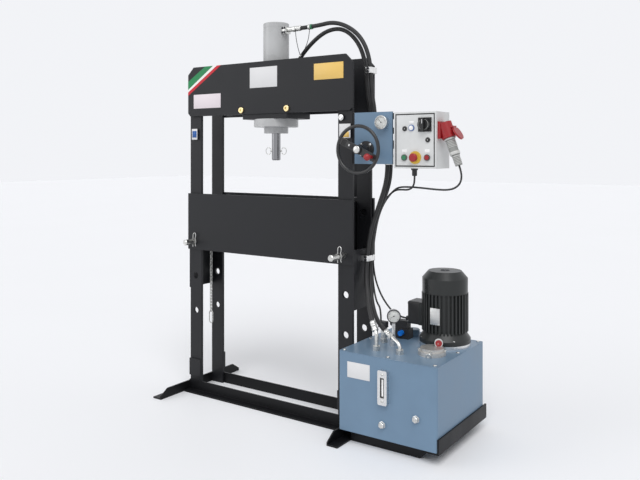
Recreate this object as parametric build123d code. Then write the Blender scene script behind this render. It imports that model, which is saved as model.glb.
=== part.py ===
from build123d import *
import math
import os

# Electro-hydraulic workshop press with an H-shaped frame. Millimetres.
# +X is the press's right, +Y its back, +Z up; the floor is Z = 0.
# Pieces are placed about the ram's axis and moved at the end, so that the
# origin is the middle of the whole machine's footprint on the floor.

# Frame of flat steel
SPAN = 1104.0
PLATE_T = 12.0
PLATE_OVER = 8.0
BAR_W = 85.0
BAR_T = 15.0
BAR_GAP = 165.0
BAR_TOP = 1815.0
HOLE_D = 36.0
HOLE_PITCH = 200.0
HOLE_LOW_Z = 462.0
HOLE_ROWS = 4
HEAD_BOTTOM = 1580.0
HEAD_H = 282.0
HEAD_TOP_CUT = 43.0
HEAD_LOW_CUT = 18.0
BED_BOTTOM = 814.0
BED_H = 322.0
SPACER_X = 440.0
SPACER_T = 20.0
SPACER_INSET = 20.0
TIE_T = 8.0
TIE_LOW = 590.0
TIE_H = 296.0
DOUBLER_T = 10.0
DOUBLER_LOW = 86.0
DOUBLER_H = 96.0

# Feet and base beams of angle iron
FOOT_L = 660.0
FOOT_H = 52.0
FOOT_FLANGE = 60.0
FOOT_T = 8.0
FOOT_TIP_H = 16.0
FOOT_CUT = 55.0
BEAM_LEG = 60.0
BEAM_FLANGE = 56.0
BEAM_T = 8.0

# Cylinder and ram
BARREL_D = 142.0
BORE_D = 110.0
BARREL_TOP = 2052.0
CAP_H = 25.0
CAP_SPIGOT = 20.0
CAP_CUT = 3.0
SADDLE_X = 165.0
SADDLE_Y = 104.0
SADDLE_T = 27.0
SADDLE_CUT = 16.0
LUG_T = 20.0
LUG_H = 46.0
FLANGE_D = 243.0
FLANGE_T = 43.0
FLANGE_BOLTS = 8
FLANGE_BOLT_PCD = 196.0
FLANGE_POCKET_D = 28.0
FLANGE_POCKET = 9.0
GLAND_D = 133.0
GLAND_H = 34.0
GLAND_SPIGOT = 35.0
ROD_D = 48.0
ROD_OUT = 67.0
NOSE_L = 80.0
NOSE_CUT = 4.0
NOSE_TANG_D = 30.0
NOSE_TANG = 30.0
PISTON_H = 50.0
PISTON_BELOW_CAP = 45.0
RUN_FIT = 0.05
PORT_TOP_DROP = 17.0
PORT_LOW_Z = 1670.0

# Bed pins
PIN_D = 32.0
PIN_L = 380.0
PIN_CUT = 4.0
PIN_REST_GAP = 0.3
PIN_LEFT_OUT = 80.0
PIN_RIGHT_OUT = 126.0
CLIP_HOLE_D = 6.0
CLIP_FROM_TIP = 68.0

# Lifting chain under the bed
CHAIN_X = -501.0
CHAIN_Y = 20.0
CHAIN_WIRE = 5.0
CHAIN_PITCH = 18.0
CHAIN_W = 13.0
CHAIN_LINKS = 21
LUG_HOLE_D = 14.0
LUG_HOLE_Z = 812.0
LUG_LOW = 799.0
LUG_TOP = 840.0
LUG_PLATE = 6.0
LUG_END = 12.0
LUG_SEAT = 2.8
HOOK_WIRE = 6.0
HOOK_W = 26.0
HOOK_L = 72.0
LINK_GAP = 0.3

# Steering valve, its panel and wheel
PANEL_W = 210.0
PANEL_LOW = 1315.0
PANEL_H = 252.0
PANEL_DEEP = 12.0
PANEL_T = 3.0
PANEL_GAP = 9.0
STRAP_H = 30.0
STRAP_T = 8.0
STRAP_Z = (1460.0, 1530.0)
WHEEL_X = 630.0
WHEEL_Z = 1385.0
WHEEL_R = 113.0
WHEEL_RIM_R = 8.5
WHEEL_Y = -177.5
SPOKE_W = 35.0
SPOKE_T = 8.0
SPOKE_TILT = 25.0
HUB_R = 22.0
HUB_L = 24.0
SHAFT_R = 10.0
COLUMN_R = 25.0
COLUMN_END = 17.0
VALVE_SIDE = 100.0
VALVE_BACK = 40.0
VALVE_SOCKET = 60.0
MANIFOLD_W = 64.0
MANIFOLD_Z = (1390.0, 1430.0)
SPINNER_AT = 85.0
SPINNER_STEM_R = 6.0
SPINNER_STEM = 30.0
SPINNER_R = 17.0
SPINNER_GAP = 0.5

# Dial gauges
GAUGE_R = 32.0
GAUGE_DEEP = 30.0
GAUGE_RIM = 3.0
GAUGE_SINK = 4.0
PANEL_GAUGE = (726.0, 1515.0)
UNIT_GAUGE = (752.0, -42.0, 579.0)
UNIT_GAUGE_TURN = 30.0
GAUGE_STEM_R = 9.0

# Electric box, its door and controls
BOX_LEFT = 783.0
BOX_W = 220.0
BOX_DEEP = 143.5
BOX_LOW = 1296.0
BOX_H = 265.0
BOX_T = 2.0
BOX_RIM = 12.0
DOOR_T = 3.0
DOOR_GAP = 1.5
HINGE_IN = 12.0
HINGE_R = 4.5
HINGE_SINK = 1.0
HINGE_PIN_R = 2.5
HINGE_PIN = 12.0
HINGE_LUG = 8.0
GEAR_T = 2.0
SWITCH_PLATE = 66.0
SWITCH_PLATE_T = 6.0
SWITCH_R = 30.0
SWITCH_T = 14.0
SWITCH_GRIP_W = 14.0
SWITCH_GRIP_T = 16.0
SWITCH_STEM_R = 5.0
SWITCH_AT = (946.0, 1500.0)
BUTTON_Z = 1347.0
START_X = 839.0
STOP_X = 957.0
ESTOP_X = 896.0
BEZEL_R = 15.0
BEZEL_T = 6.0
CAP_R = 11.0
CAP_T = 5.0
STEM_R = 6.0
STEM_L = 20.0
PLUNGER_FIT = 0.4
ESTOP_PLATE_R = 30.0
ESTOP_PLATE_T = 5.0
ESTOP_HEAD_R = 20.0
ESTOP_HEAD_T = 14.0
ESTOP_LIFT = 14.0
CONTACT_W = 28.0
CONTACT_DEEP = 34.0
CONTACT_H = 40.0
CONTACTS = 4
GLAND_AT = (856.0, -26.0)
BOX_GLAND_R = 11.0
BOX_GLAND_L = 34.0

# Socket and plug on the box's side
SOCKET_Y = -50.0
SOCKET_Z = 1474.0
SOCKET_BASE_W = 70.0
SOCKET_BASE_H = 80.0
SOCKET_BASE_T = 14.0
SOCKET_R = 33.0
SOCKET_L = 74.0
SOCKET_BORE_R = 25.0
SOCKET_TILT = 20.5
SOCKET_SET = (1034.0, 1472.0)
PLUG_R = 22.0
PLUG_NECK_R = 24.9
PLUG_NECK = 30.0
PLUG_BODY = 84.0
PLUG_CAP = 50.0
PLUG_CAP_R = 17.0
LID_R = 35.0
LID_T = 8.0
LID_HANG = 56.0
LID_HINGE_R = 4.0
LID_HINGE = (1069.0, 1490.0)
LUG_INSET = 12.0
LUG_GAP = 0.5
LUG_W = 6.0

# Oil tank and its supports
TANK_LEFT = 572.0
TANK_W = 508.0
TANK_FRONT = -255.0
TANK_D = 537.0
TANK_LOW = 60.0
TANK_TOP = 433.0
TANK_WALL = 3.0
TANK_LID = 5.0
TANK_ROUND = 10.0
SUPPORT_FRONT_Y = -211.0
SUPPORT_REAR_Y = 238.0
SUPPORT_END_X = 1011.0
SUPPORT_CUT = 35.0
SUPPORT_T = 8.0
SUPPORT_LEG = 50.0
SIDE_RAIL_H = 68.0
SIDE_RAIL_LEG = 50.0
SIDE_RAIL_TAIL = 20.0
LEVEL_X = 794.0
LEVEL_LOW = 225.0
LEVEL_W = 48.0
LEVEL_H = 157.0
LEVEL_T = 22.0
LEVEL_SLOT_W = 20.0
LEVEL_SLOT_SHARE = 0.58
LEVEL_SLOT_T = 8.0

# Pump, motor, return filter and valves on the tank
MOTOR_X = 942.0
MOTOR_FROM_BACK = 150.0
BELL_R = 124.0
BELL_T = 17.0
BELL_TUBE_R = 72.0
BELL_TUBE_WALL = 8.0
BELL_TUBE_L = 60.0
PUMP_W = 96.0
PUMP_H = 110.0
PUMP_FLANGE = 12.0
MOTOR_FLANGE_T = 20.0
MOTOR_BELL_TOP = 504.0
MOTOR_BODY_TOP = 688.0
MOTOR_CORE_R = 101.0
MOTOR_FIN_R = 113.0
MOTOR_FINS = 36
MOTOR_BORE_R = 80.0
MOTOR_WALL = 14.0
FIN_SHARE = 0.42
COWL_R = 110.5
COWL_SIDE_TOP = 760.0
COWL_TOP = 794.0
COWL_TOP_R = 81.0
COWL_T = 2.0
ROTOR_SHAFT_R = 14.0
ROTOR_R = 60.0
ROTOR_L = 130.0
FAN_R = 88.0
FAN_T = 6.0
FAN_BLADES = 6
FAN_BLADE_H = 24.0
FAN_BLADE_T = 4.0
TERMINAL_PAD = 24.0
TERMINAL_W = 100.0
TERMINAL_L = 56.0
TERMINAL_LOW = 519.0
TERMINAL_H = 113.0
TERMINAL_GLAND_SIDE = 27.0
TERMINAL_GLAND_Z = 540.0
TERMINAL_GLAND_R = 12.0
TERMINAL_GLAND_L = 20.0
FILTER_X = 969.0
FILTER_BEFORE_MOTOR = 204.0
FILTER_R = 64.0
FILTER_BASE_T = 19.0
FILTER_TOP_R = 55.0
FILTER_TOP_T = 14.0
FILTER_BOWL_R = 44.0
FILTER_BOWL = 180.0
FILLER_X = 741.0
FILLER_FROM_BACK = 92.0
FILLER_R = 33.0
FILLER_NECK_R = 29.0
FILLER_NECK = 12.0
FILLER_H = 36.0
FILLER_CUT = 4.0
MANIFOLD_LEFT = 684.0
MANIFOLD_L = 74.0
MANIFOLD_FROM_BACK = 182.0
MANIFOLD_DEEP = 52.0
MANIFOLD_H = 50.0
SPOOL_INSET = 5.0
SPOOL_H = 40.0
COIL_R = 18.0
COIL_L = 30.0
SENSOR_AT = (682.0, -12.0)
SENSOR_TOP = 508.0
SENSOR_PLUG_LEFT = 26.0
SENSOR_PLUG_RIGHT = 16.0
SENSOR_PLUG_DEEP = 30.0
SENSOR_PLUG_H = 29.0
KNOB_R = 13.0
KNOB_L = 22.0
KNOB_STEM_R = 5.0
KNOB_STEM = 8.0
KNOB_AT = (722.0, 464.0)

# Hose ends, hoses and cables
FITTING_R = 14.0
FITTING_HEX_R = 19.0
PORT_HEX_R = 17.0
FITTING_HEX_L = 22.0
HOSE_D = 22.0
CABLE_D = 9.0
CABLE_LEAD = 34.0
PRESSURE_PORT_X = 722.0
RETURN_PORT_X = 845.0
PIPE_R = 9.0
PIPE_BEND = 34.0
COLLAR_L = 12.0
SUPPLY_X = 704.0
SUPPLY_YS = (-16.0, 16.0)
VALVE_PORTS = ((632.0, -13.0), (598.0, 13.0))
VALVE_FITTING_TOP = 1475.0
SUPPLY_FITTING_LOW = 1350.0
PORT_TOP_END = 140.0
ELBOW_X = 100.0
ELBOW_TOP = 1715.0
ARC_SHARE = 0.45

# Routes of the hoses and cables, about the ram's axis
HOSE_DOWN = [(140, -13, 2035), (265, -13, 2035), (400, -13, 2050), (532, -13, 1980),
             (601, -13, 1860), (612, -13, 1670), (632, -13, 1565), (632, -13, 1475)]
HOSE_UP = [(100, 13, 1715), (100, 13, 1805), (165, 13, 1898), (255, 13, 1975), (340, 13, 2015),
           (430, 13, 2012), (512, 13, 1945), (560, 13, 1840), (571, 13, 1680), (598, 13, 1565),
           (598, 13, 1475)]
HOSE_PRESSURE = [(704, -16, 1350), (704, -16, 1275), (688, -15, 1195), (645, -14, 1085),
                 (604, -14, 975), (588, -14, 860), (588, -30, 750), (622, -66, 662),
                 (664, -118, 588), (706, -146, 532)]
HOSE_RETURN = [(704, 16, 1350), (704, 16, 1275), (690, 15, 1195), (640, 14, 1085),
               (602, 14, 975), (592, 14, 860), (590, 8, 760), (612, -22, 680), (644, -58, 612),
               (684, -90, 562), (732, -116, 530), (784, -134, 506)]
CABLE_CONTROL = [(856, -26, 1262), (856, -26, 1234), (850, -25, 1212), (836, -23, 1197),
                 (812, -18, 1190), (776, -3, 1190), (735, 18, 1187), (700, 34, 1172),
                 (668, 42, 1145), (634, 44, 1105), (604, 44, 1040), (586, 44, 960), (578, 44, 880),
                 (576, 46, 800), (580, 50, 750), (592, 44, 680), (620, 20, 622), (664, -12, 598),
                 (664, -12, 537)]
CABLE_MOTOR = [(1105, -50, 1240), (1083, -49, 1211), (1042, -46, 1197), (975, -38, 1197),
               (880, -20, 1203), (805, 2, 1204), (752, 24, 1201), (712, 46, 1188), (676, 57, 1158),
               (642, 58, 1116), (612, 58, 1050), (592, 58, 965), (580, 58, 880), (578, 60, 800),
               (588, 70, 710), (622, 90, 616), (690, 105, 540), (747, 105, 540)]

# Sizes worked out from those above
END_X = SPAN / 2
BAR_IN = BAR_GAP / 2
BAR_OUT = BAR_IN + BAR_T
PLATE_OUT = BAR_OUT + PLATE_T
PLATE_END = END_X + PLATE_OVER
PIN_X = END_X - BAR_W / 2
PIN_HOLE_Z = HOLE_LOW_Z + 2 * HOLE_PITCH
PIN_Z = PIN_HOLE_Z - (HOLE_D - PIN_D) / 2 + PIN_REST_GAP
SADDLE_LOW = HEAD_BOTTOM - SADDLE_T
FLANGE_LOW = SADDLE_LOW - FLANGE_T
GLAND_LOW = FLANGE_LOW - GLAND_H
ROD_LOW = GLAND_LOW - ROD_OUT
NOSE_LOW = ROD_LOW - NOSE_L
PORT_TOP_Z = BARREL_TOP - PORT_TOP_DROP
PISTON_TOP = BARREL_TOP - CAP_SPIGOT - PISTON_BELOW_CAP
PANEL_LEFT = END_X + PANEL_GAP
PANEL_BACK = -BAR_IN
PANEL_FRONT = PANEL_BACK - PANEL_DEEP
BOX_RIGHT = BOX_LEFT + BOX_W
BOX_FRONT = -BAR_OUT
BOX_BACK = BOX_FRONT + BOX_DEEP
BOX_TOP = BOX_LOW + BOX_H
DOOR_LEFT = BOX_LEFT + BOX_RIM + DOOR_GAP
DOOR_RIGHT = BOX_RIGHT - BOX_RIM - DOOR_GAP
DOOR_LOW = BOX_LOW + BOX_RIM + DOOR_GAP
DOOR_TOP = BOX_TOP - BOX_RIM - DOOR_GAP
DOOR_BACK = BOX_FRONT + DOOR_T
HINGE_X = DOOR_LEFT + HINGE_IN
HINGE_Y = DOOR_BACK + HINGE_R - HINGE_SINK
TANK_RIGHT = TANK_LEFT + TANK_W
TANK_BACK = TANK_FRONT + TANK_D
MOTOR_Y = TANK_BACK - MOTOR_FROM_BACK
MANIFOLD_FRONT = TANK_BACK - MANIFOLD_FROM_BACK
FILTER_Y = MOTOR_Y - FILTER_BEFORE_MOTOR
LID_LOW = TANK_TOP - TANK_LID
BELL_TOP = TANK_TOP + BELL_T
PAD_X = MOTOR_X - MOTOR_FIN_R - TERMINAL_PAD / 4
TERMINAL_LEFT = PAD_X - TERMINAL_L


# Plain shapes
def block(x0, x1, y0, y1, z0, z1):
    """A box between two corners."""
    low = (Align.MIN, Align.MIN, Align.MIN)
    return Pos(x0, y0, z0) * Box(x1 - x0, y1 - y0, z1 - z0, align=low)


def round_z(r, x, y, z0, z1):
    """A round bar standing along Z."""
    return Pos(x, y, z0) * Cylinder(r, z1 - z0, align=(Align.CENTER, Align.CENTER, Align.MIN))


def round_y(r, x, z, y0, y1):
    """A round bar lying along Y."""
    bar = Cylinder(r, y1 - y0, align=(Align.CENTER, Align.CENTER, Align.MIN))
    return Pos(x, y0, z) * Rot(-90, 0, 0) * bar


def round_x(r, y, z, x0, x1):
    """A round bar lying along X."""
    bar = Cylinder(r, x1 - x0, align=(Align.CENTER, Align.CENTER, Align.MIN))
    return Pos(x0, y, z) * Rot(0, 90, 0) * bar


def prism(points, way, amount):
    """A flat outline drawn in space and pulled along a direction."""
    return extrude(make_face(Polyline(*points, close=True)), amount=amount, dir=way)


def turned(points, x, y):
    """An outline of radius and height turned about a standing axis."""
    outline = make_face(Polyline(*[(r, 0, z) for r, z in points], close=True))
    return Pos(x, y, 0) * revolve(outline, axis=Axis.Z)


def hex_z(r, x, y, z0, z1):
    """A hexagon bar standing along Z."""
    return Pos(x, y, z0) * extrude(RegularPolygon(r, 6), amount=z1 - z0)


def group(pieces):
    """Several solids of one kind in one node."""
    return Compound([solid for piece in pieces for solid in piece.solids()])


# Frame
def head_plate(front):
    """One of the two cross plates at the top, with its corners cut."""
    top = HEAD_BOTTOM + HEAD_H
    right = [(PLATE_END - HEAD_LOW_CUT, HEAD_BOTTOM), (PLATE_END, HEAD_BOTTOM + HEAD_LOW_CUT),
             (PLATE_END, top - HEAD_TOP_CUT), (PLATE_END - HEAD_TOP_CUT, top)]
    outline = right + [(-x, z) for x, z in reversed(right)]
    y = -PLATE_OUT if front else BAR_OUT
    return prism([(x, y, z) for x, z in outline], (0, 1, 0), PLATE_T)


def bed_plate(front):
    """One of the two plates of the bed, with a hole for each pin."""
    y = -PLATE_OUT if front else BAR_OUT
    plate = block(-PLATE_END, PLATE_END, y, y + PLATE_T, BED_BOTTOM, BED_BOTTOM + BED_H)
    for x in (-PIN_X, PIN_X):
        plate -= round_y(PIN_D / 2 + RUN_FIT, x, PIN_Z, y, y + PLATE_T)
    return plate


def bed_spacers():
    """Two plates that hold the bed's plates apart."""
    low, top = BED_BOTTOM + SPACER_INSET, BED_BOTTOM + BED_H - SPACER_INSET
    right = block(SPACER_X, SPACER_X + SPACER_T, -BAR_OUT, BAR_OUT, low, top)
    y0, y1 = CHAIN_Y - LUG_PLATE / 2, CHAIN_Y + LUG_PLATE / 2
    lug = block(CHAIN_X - LUG_END, -SPACER_X - SPACER_T, y0, y1, LUG_LOW, LUG_TOP)
    lug -= round_y(LUG_HOLE_D / 2, CHAIN_X, LUG_HOLE_Z, y0, y1)
    return group([right, right.mirror(Plane.YZ) + lug])


def upright(left, front):
    """A flat bar with its row of pin holes and the doubler at its foot."""
    x0, x1 = (-END_X, BAR_W - END_X) if left else (END_X - BAR_W, END_X)
    y0, y1 = (-BAR_OUT, -BAR_IN) if front else (BAR_IN, BAR_OUT)
    bar = block(x0, x1, y0, y1, 0, BAR_TOP)
    for row in range(HOLE_ROWS):
        bar -= round_y(HOLE_D / 2, (x0 + x1) / 2, HOLE_LOW_Z + row * HOLE_PITCH, y0, y1)
    d0, d1 = (-BAR_OUT - DOUBLER_T, -BAR_OUT) if front else (BAR_OUT, BAR_OUT + DOUBLER_T)
    return [bar, block(x0, x1, d0, d1, DOUBLER_LOW, DOUBLER_LOW + DOUBLER_H)]


def uprights(left):
    """The front and the rear bar of one side."""
    return group(upright(left, True) + upright(left, False))


def tie_plates():
    """A plate on each side that joins the front bar to the rear one."""
    right = block(END_X, END_X + TIE_T, -BAR_OUT, BAR_OUT, TIE_LOW, TIE_LOW + TIE_H)
    return group([right, right.mirror(Plane.YZ)])


def foot(left):
    """An angle along Y, its web cut at both ends and its flange outward."""
    half = FOOT_L / 2
    web = prism([(END_X, -half, 0), (END_X, half, 0), (END_X, half, FOOT_TIP_H),
                 (END_X, half - FOOT_CUT, FOOT_H), (END_X, FOOT_CUT - half, FOOT_H),
                 (END_X, -half, FOOT_TIP_H)], (1, 0, 0), FOOT_T)
    angle = web + block(END_X, END_X + FOOT_FLANGE, -half, half, 0, FOOT_T)
    return angle.mirror(Plane.YZ) if left else angle


def base_beams():
    """Two angles along X that join the feet before and behind the bars."""
    outline = [(BAR_OUT, 0), (BAR_OUT + BEAM_FLANGE, 0), (BAR_OUT + BEAM_FLANGE, BEAM_T),
               (BAR_OUT + BEAM_T, BEAM_T), (BAR_OUT + BEAM_T, BEAM_LEG), (BAR_OUT, BEAM_LEG)]
    rear = prism([(-END_X, y, z) for y, z in outline], (1, 0, 0), SPAN)
    return group([rear, rear.mirror(Plane.XZ)])


# Cylinder and ram
def saddle():
    """The plate under the cross plates, with the lugs that stand between them."""
    x, y, cut = SADDLE_X, SADDLE_Y, SADDLE_CUT
    outline = [(-x, cut - y), (cut - x, -y), (x - cut, -y), (x, cut - y),
               (x, y - cut), (x - cut, y), (cut - x, y), (-x, y - cut)]
    plate = prism([(a, b, SADDLE_LOW) for a, b in outline], (0, 0, 1), SADDLE_T)
    lug = block(x - LUG_T, x, -BAR_OUT, BAR_OUT, HEAD_BOTTOM, HEAD_BOTTOM + LUG_H)
    whole = plate + lug + lug.mirror(Plane.YZ)
    return whole - round_z(BARREL_D / 2, 0, 0, SADDLE_LOW, HEAD_BOTTOM)


def barrel():
    """The cylinder's tube, with a port near each end."""
    tube = round_z(BARREL_D / 2, 0, 0, FLANGE_LOW, BARREL_TOP)
    return tube - round_z(BORE_D / 2, 0, 0, FLANGE_LOW, BARREL_TOP)


def cylinder_cap():
    """The cap that closes the tube, with its spigot in the bore."""
    r, top = BARREL_D / 2, BARREL_TOP + CAP_H
    return turned([(0, BARREL_TOP - CAP_SPIGOT), (BORE_D / 2, BARREL_TOP - CAP_SPIGOT),
                   (BORE_D / 2, BARREL_TOP), (r, BARREL_TOP), (r, top - CAP_CUT),
                   (r - CAP_CUT, top), (0, top)], 0, 0)


def flange():
    """The ring that bolts the cylinder to the saddle, with sunk bolt seats."""
    ring = round_z(FLANGE_D / 2, 0, 0, FLANGE_LOW, SADDLE_LOW)
    ring -= round_z(BARREL_D / 2, 0, 0, FLANGE_LOW, SADDLE_LOW)
    for seat in PolarLocations(FLANGE_BOLT_PCD / 2, FLANGE_BOLTS):
        at = seat.position
        ring -= round_z(FLANGE_POCKET_D / 2, at.X, at.Y, FLANGE_LOW, FLANGE_LOW + FLANGE_POCKET)
    return ring


def gland():
    """The ring that guides the rod out of the tube."""
    bore = ROD_D / 2 + RUN_FIT
    return turned([(bore, GLAND_LOW), (GLAND_D / 2, GLAND_LOW), (GLAND_D / 2, FLANGE_LOW),
                   (BORE_D / 2, FLANGE_LOW), (BORE_D / 2, FLANGE_LOW + GLAND_SPIGOT),
                   (bore, FLANGE_LOW + GLAND_SPIGOT)], 0, 0)


def piston():
    """The piston that runs in the tube, round the rod's tang."""
    disc = round_z(BORE_D / 2 - RUN_FIT, 0, 0, PISTON_TOP - PISTON_H, PISTON_TOP)
    return disc - round_z(NOSE_TANG_D / 2, 0, 0, PISTON_TOP - PISTON_H, PISTON_TOP)


def rod():
    """The polished rod, with a tang in the piston and a socket for the nose."""
    bar = round_z(ROD_D / 2, 0, 0, ROD_LOW, PISTON_TOP - PISTON_H)
    bar += round_z(NOSE_TANG_D / 2, 0, 0, PISTON_TOP - PISTON_H, PISTON_TOP)
    return bar - round_z(NOSE_TANG_D / 2, 0, 0, ROD_LOW, ROD_LOW + NOSE_TANG)


def nose():
    """The pressing end that plugs into the rod."""
    r, top = ROD_D / 2, ROD_LOW + NOSE_TANG
    return turned([(0, NOSE_LOW), (r - NOSE_CUT, NOSE_LOW), (r, NOSE_LOW + NOSE_CUT),
                   (r, ROD_LOW), (NOSE_TANG_D / 2, ROD_LOW), (NOSE_TANG_D / 2, top), (0, top)], 0, 0)


def bed_pin(left):
    """A pin through the bed and the bars, with a hole for its clip."""
    x = -PIN_X if left else PIN_X
    tip = -PLATE_OUT - (PIN_LEFT_OUT if left else PIN_RIGHT_OUT)
    pin = round_y(PIN_D / 2, x, PIN_Z, tip, tip + PIN_L)
    pin = chamfer(pin.edges().filter_by(GeomType.CIRCLE), PIN_CUT)
    at = tip + CLIP_FROM_TIP
    return pin - round_z(CLIP_HOLE_D / 2, x, at, PIN_Z - PIN_D, PIN_Z + PIN_D)


# Chain
def link(wire, long, wide, turn):
    """A round-wire loop that hangs below the origin, turned about Z."""
    loop = Plane.XZ * Rot(0, 0, 90) * SlotOverall(long, wide)
    path = loop.wire()
    start = Plane(path @ 0, z_dir=path % 0)
    ring = sweep(start * Circle(wire / 2), path=path, transition=Transition.RIGHT)
    return Rot(0, 0, turn) * Pos(0, 0, -long / 2) * ring


def chain():
    """The lifting chain and the loop of the hook at its end."""
    top = LUG_HOLE_Z - LUG_HOLE_D / 2 + CHAIN_WIRE / 2 + LUG_SEAT
    long = CHAIN_PITCH + CHAIN_WIRE
    loops = []
    for count in range(CHAIN_LINKS):
        turn = 90 if count % 2 == 0 else 0
        drop = count * (CHAIN_PITCH - LINK_GAP)
        loops.append(Pos(CHAIN_X, CHAIN_Y, top - drop) * link(CHAIN_WIRE, long, CHAIN_W, turn))
    end = top - (CHAIN_LINKS - 1) * (CHAIN_PITCH - LINK_GAP) - long
    hook_top = end + (CHAIN_WIRE + HOOK_WIRE) / 2 + LINK_GAP
    loops.append(Pos(CHAIN_X, CHAIN_Y, hook_top) * link(HOOK_WIRE, HOOK_L, HOOK_W, 0))
    return group(loops)


# Steering valve and wheel
def valve_panel():
    """A shallow tray beside the right bar, with a hole for the column."""
    right, top = PANEL_LEFT + PANEL_W, PANEL_LOW + PANEL_H
    tray = block(PANEL_LEFT, right, PANEL_FRONT, PANEL_BACK, PANEL_LOW, top)
    tray -= block(PANEL_LEFT + PANEL_T, right - PANEL_T, PANEL_FRONT + PANEL_T, PANEL_BACK,
                  PANEL_LOW + PANEL_T, top - PANEL_T)
    return tray - round_y(COLUMN_R, WHEEL_X, WHEEL_Z, PANEL_FRONT, PANEL_BACK)


def panel_straps():
    """Flat straps from the right bar that carry the panel and the box."""
    return group([block(END_X - BAR_W, BOX_LEFT, PANEL_BACK, PANEL_BACK + STRAP_T, z, z + STRAP_H)
                  for z in STRAP_Z])


def steering_valve():
    """The rotary valve behind the panel, its column and its port block."""
    half = VALVE_SIDE / 2
    body = block(WHEEL_X - half, WHEEL_X + half, PANEL_BACK, VALVE_BACK, WHEEL_Z - half, WHEEL_Z + half)
    side = WHEEL_X + half
    body += block(side, side + MANIFOLD_W, -half, half, *MANIFOLD_Z)
    body += round_y(COLUMN_R, WHEEL_X, WHEEL_Z, WHEEL_Y + COLUMN_END, PANEL_BACK)
    bore_end = PANEL_BACK + VALVE_SOCKET
    return body - round_y(SHAFT_R + RUN_FIT, WHEEL_X, WHEEL_Z, WHEEL_Y + COLUMN_END, bore_end)


def handwheel():
    """A ring with one broad spoke, its hub and the shaft into the valve."""
    place = Pos(WHEEL_X, WHEEL_Y, WHEEL_Z)
    rim = Rot(90, 0, 0) * Torus(WHEEL_R, WHEEL_RIM_R)
    spoke = Rot(0, SPOKE_TILT, 0) * Box(2 * WHEEL_R, SPOKE_T, SPOKE_W)
    hub = round_y(HUB_R, 0, 0, -HUB_L / 2, HUB_L / 2)
    shaft_end = PANEL_BACK + VALVE_SOCKET - WHEEL_Y - PANEL_T
    wheel = rim + spoke + hub + round_y(SHAFT_R, 0, 0, 0, shaft_end)
    at, tilt = SPINNER_AT, math.radians(SPOKE_TILT)
    bore = round_y(SPINNER_STEM_R + RUN_FIT, at * math.cos(tilt), -at * math.sin(tilt), -SPOKE_T, SPOKE_T)
    return place * (wheel - bore)


def spinner_place():
    """Where the spinner's axis crosses the wheel."""
    tilt = math.radians(SPOKE_TILT)
    return WHEEL_X + SPINNER_AT * math.cos(tilt), WHEEL_Z - SPINNER_AT * math.sin(tilt)


def spinner():
    """The knob that turns on its stem in the spoke."""
    x, z = spinner_place()
    face = WHEEL_Y - SPOKE_T / 2 - SPINNER_GAP
    stem = round_y(SPINNER_STEM_R, x, z, face - SPINNER_STEM, WHEEL_Y + SPOKE_T / 2)
    neck = round_y(SPINNER_R / 2, x, z, face - SPINNER_STEM, face)
    return stem + neck + Pos(x, face - SPINNER_STEM - SPINNER_R / 2, z) * Sphere(SPINNER_R)


def dial(x, y, z):
    """A round gauge case that faces the front, its dial sunk in the rim."""
    case = round_y(GAUGE_R, x, z, y - GAUGE_DEEP, y)
    return case - round_y(GAUGE_R - GAUGE_RIM, x, z, y - GAUGE_DEEP, y - GAUGE_DEEP + GAUGE_SINK)


def gauges():
    """The gauge on the panel and the one that stands on the tank, turned to the user."""
    x, y, z = UNIT_GAUGE
    stand = Pos(x, y, z) * Rot(0, 0, UNIT_GAUGE_TURN) * dial(0, GAUGE_DEEP / 2, 0)
    stand += round_z(GAUGE_STEM_R, x, y, TANK_TOP, z - GAUGE_R / 2)
    stand += hex_z(2 * GAUGE_STEM_R, x, y, TANK_TOP, TANK_TOP + GAUGE_DEEP)
    return group([dial(PANEL_GAUGE[0], PANEL_FRONT, PANEL_GAUGE[1]), stand])


# Electric box
def hinge_lug(z0, z1):
    """A block behind the box's rim that carries a hinge pin of the door."""
    return block(HINGE_X - HINGE_R, HINGE_X + HINGE_R, BOX_FRONT + BOX_T, HINGE_Y + HINGE_R, z0, z1)


def control_box():
    """The case, open in front inside its rim, with a gland below."""
    case = block(BOX_LEFT, BOX_RIGHT, BOX_FRONT, BOX_BACK, BOX_LOW, BOX_TOP)
    case -= block(BOX_LEFT + BOX_T, BOX_RIGHT - BOX_T, BOX_FRONT + BOX_T, BOX_BACK - BOX_T,
                  BOX_LOW + BOX_T, BOX_TOP - BOX_T)
    case -= block(BOX_LEFT + BOX_RIM, BOX_RIGHT - BOX_RIM, BOX_FRONT, BOX_BACK - BOX_T,
                  BOX_LOW + BOX_RIM, BOX_TOP - BOX_RIM)
    low, top = BOX_LOW + BOX_RIM, BOX_TOP - BOX_RIM
    case += hinge_lug(low - HINGE_LUG, low) + round_z(HINGE_PIN_R, HINGE_X, HINGE_Y, low, low + HINGE_PIN)
    case += hinge_lug(top, top + HINGE_LUG) + round_z(HINGE_PIN_R, HINGE_X, HINGE_Y, top - HINGE_PIN, top)
    x, y = GLAND_AT
    return case + round_z(BOX_GLAND_R, x, y, BOX_LOW - BOX_GLAND_L, BOX_LOW)


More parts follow.
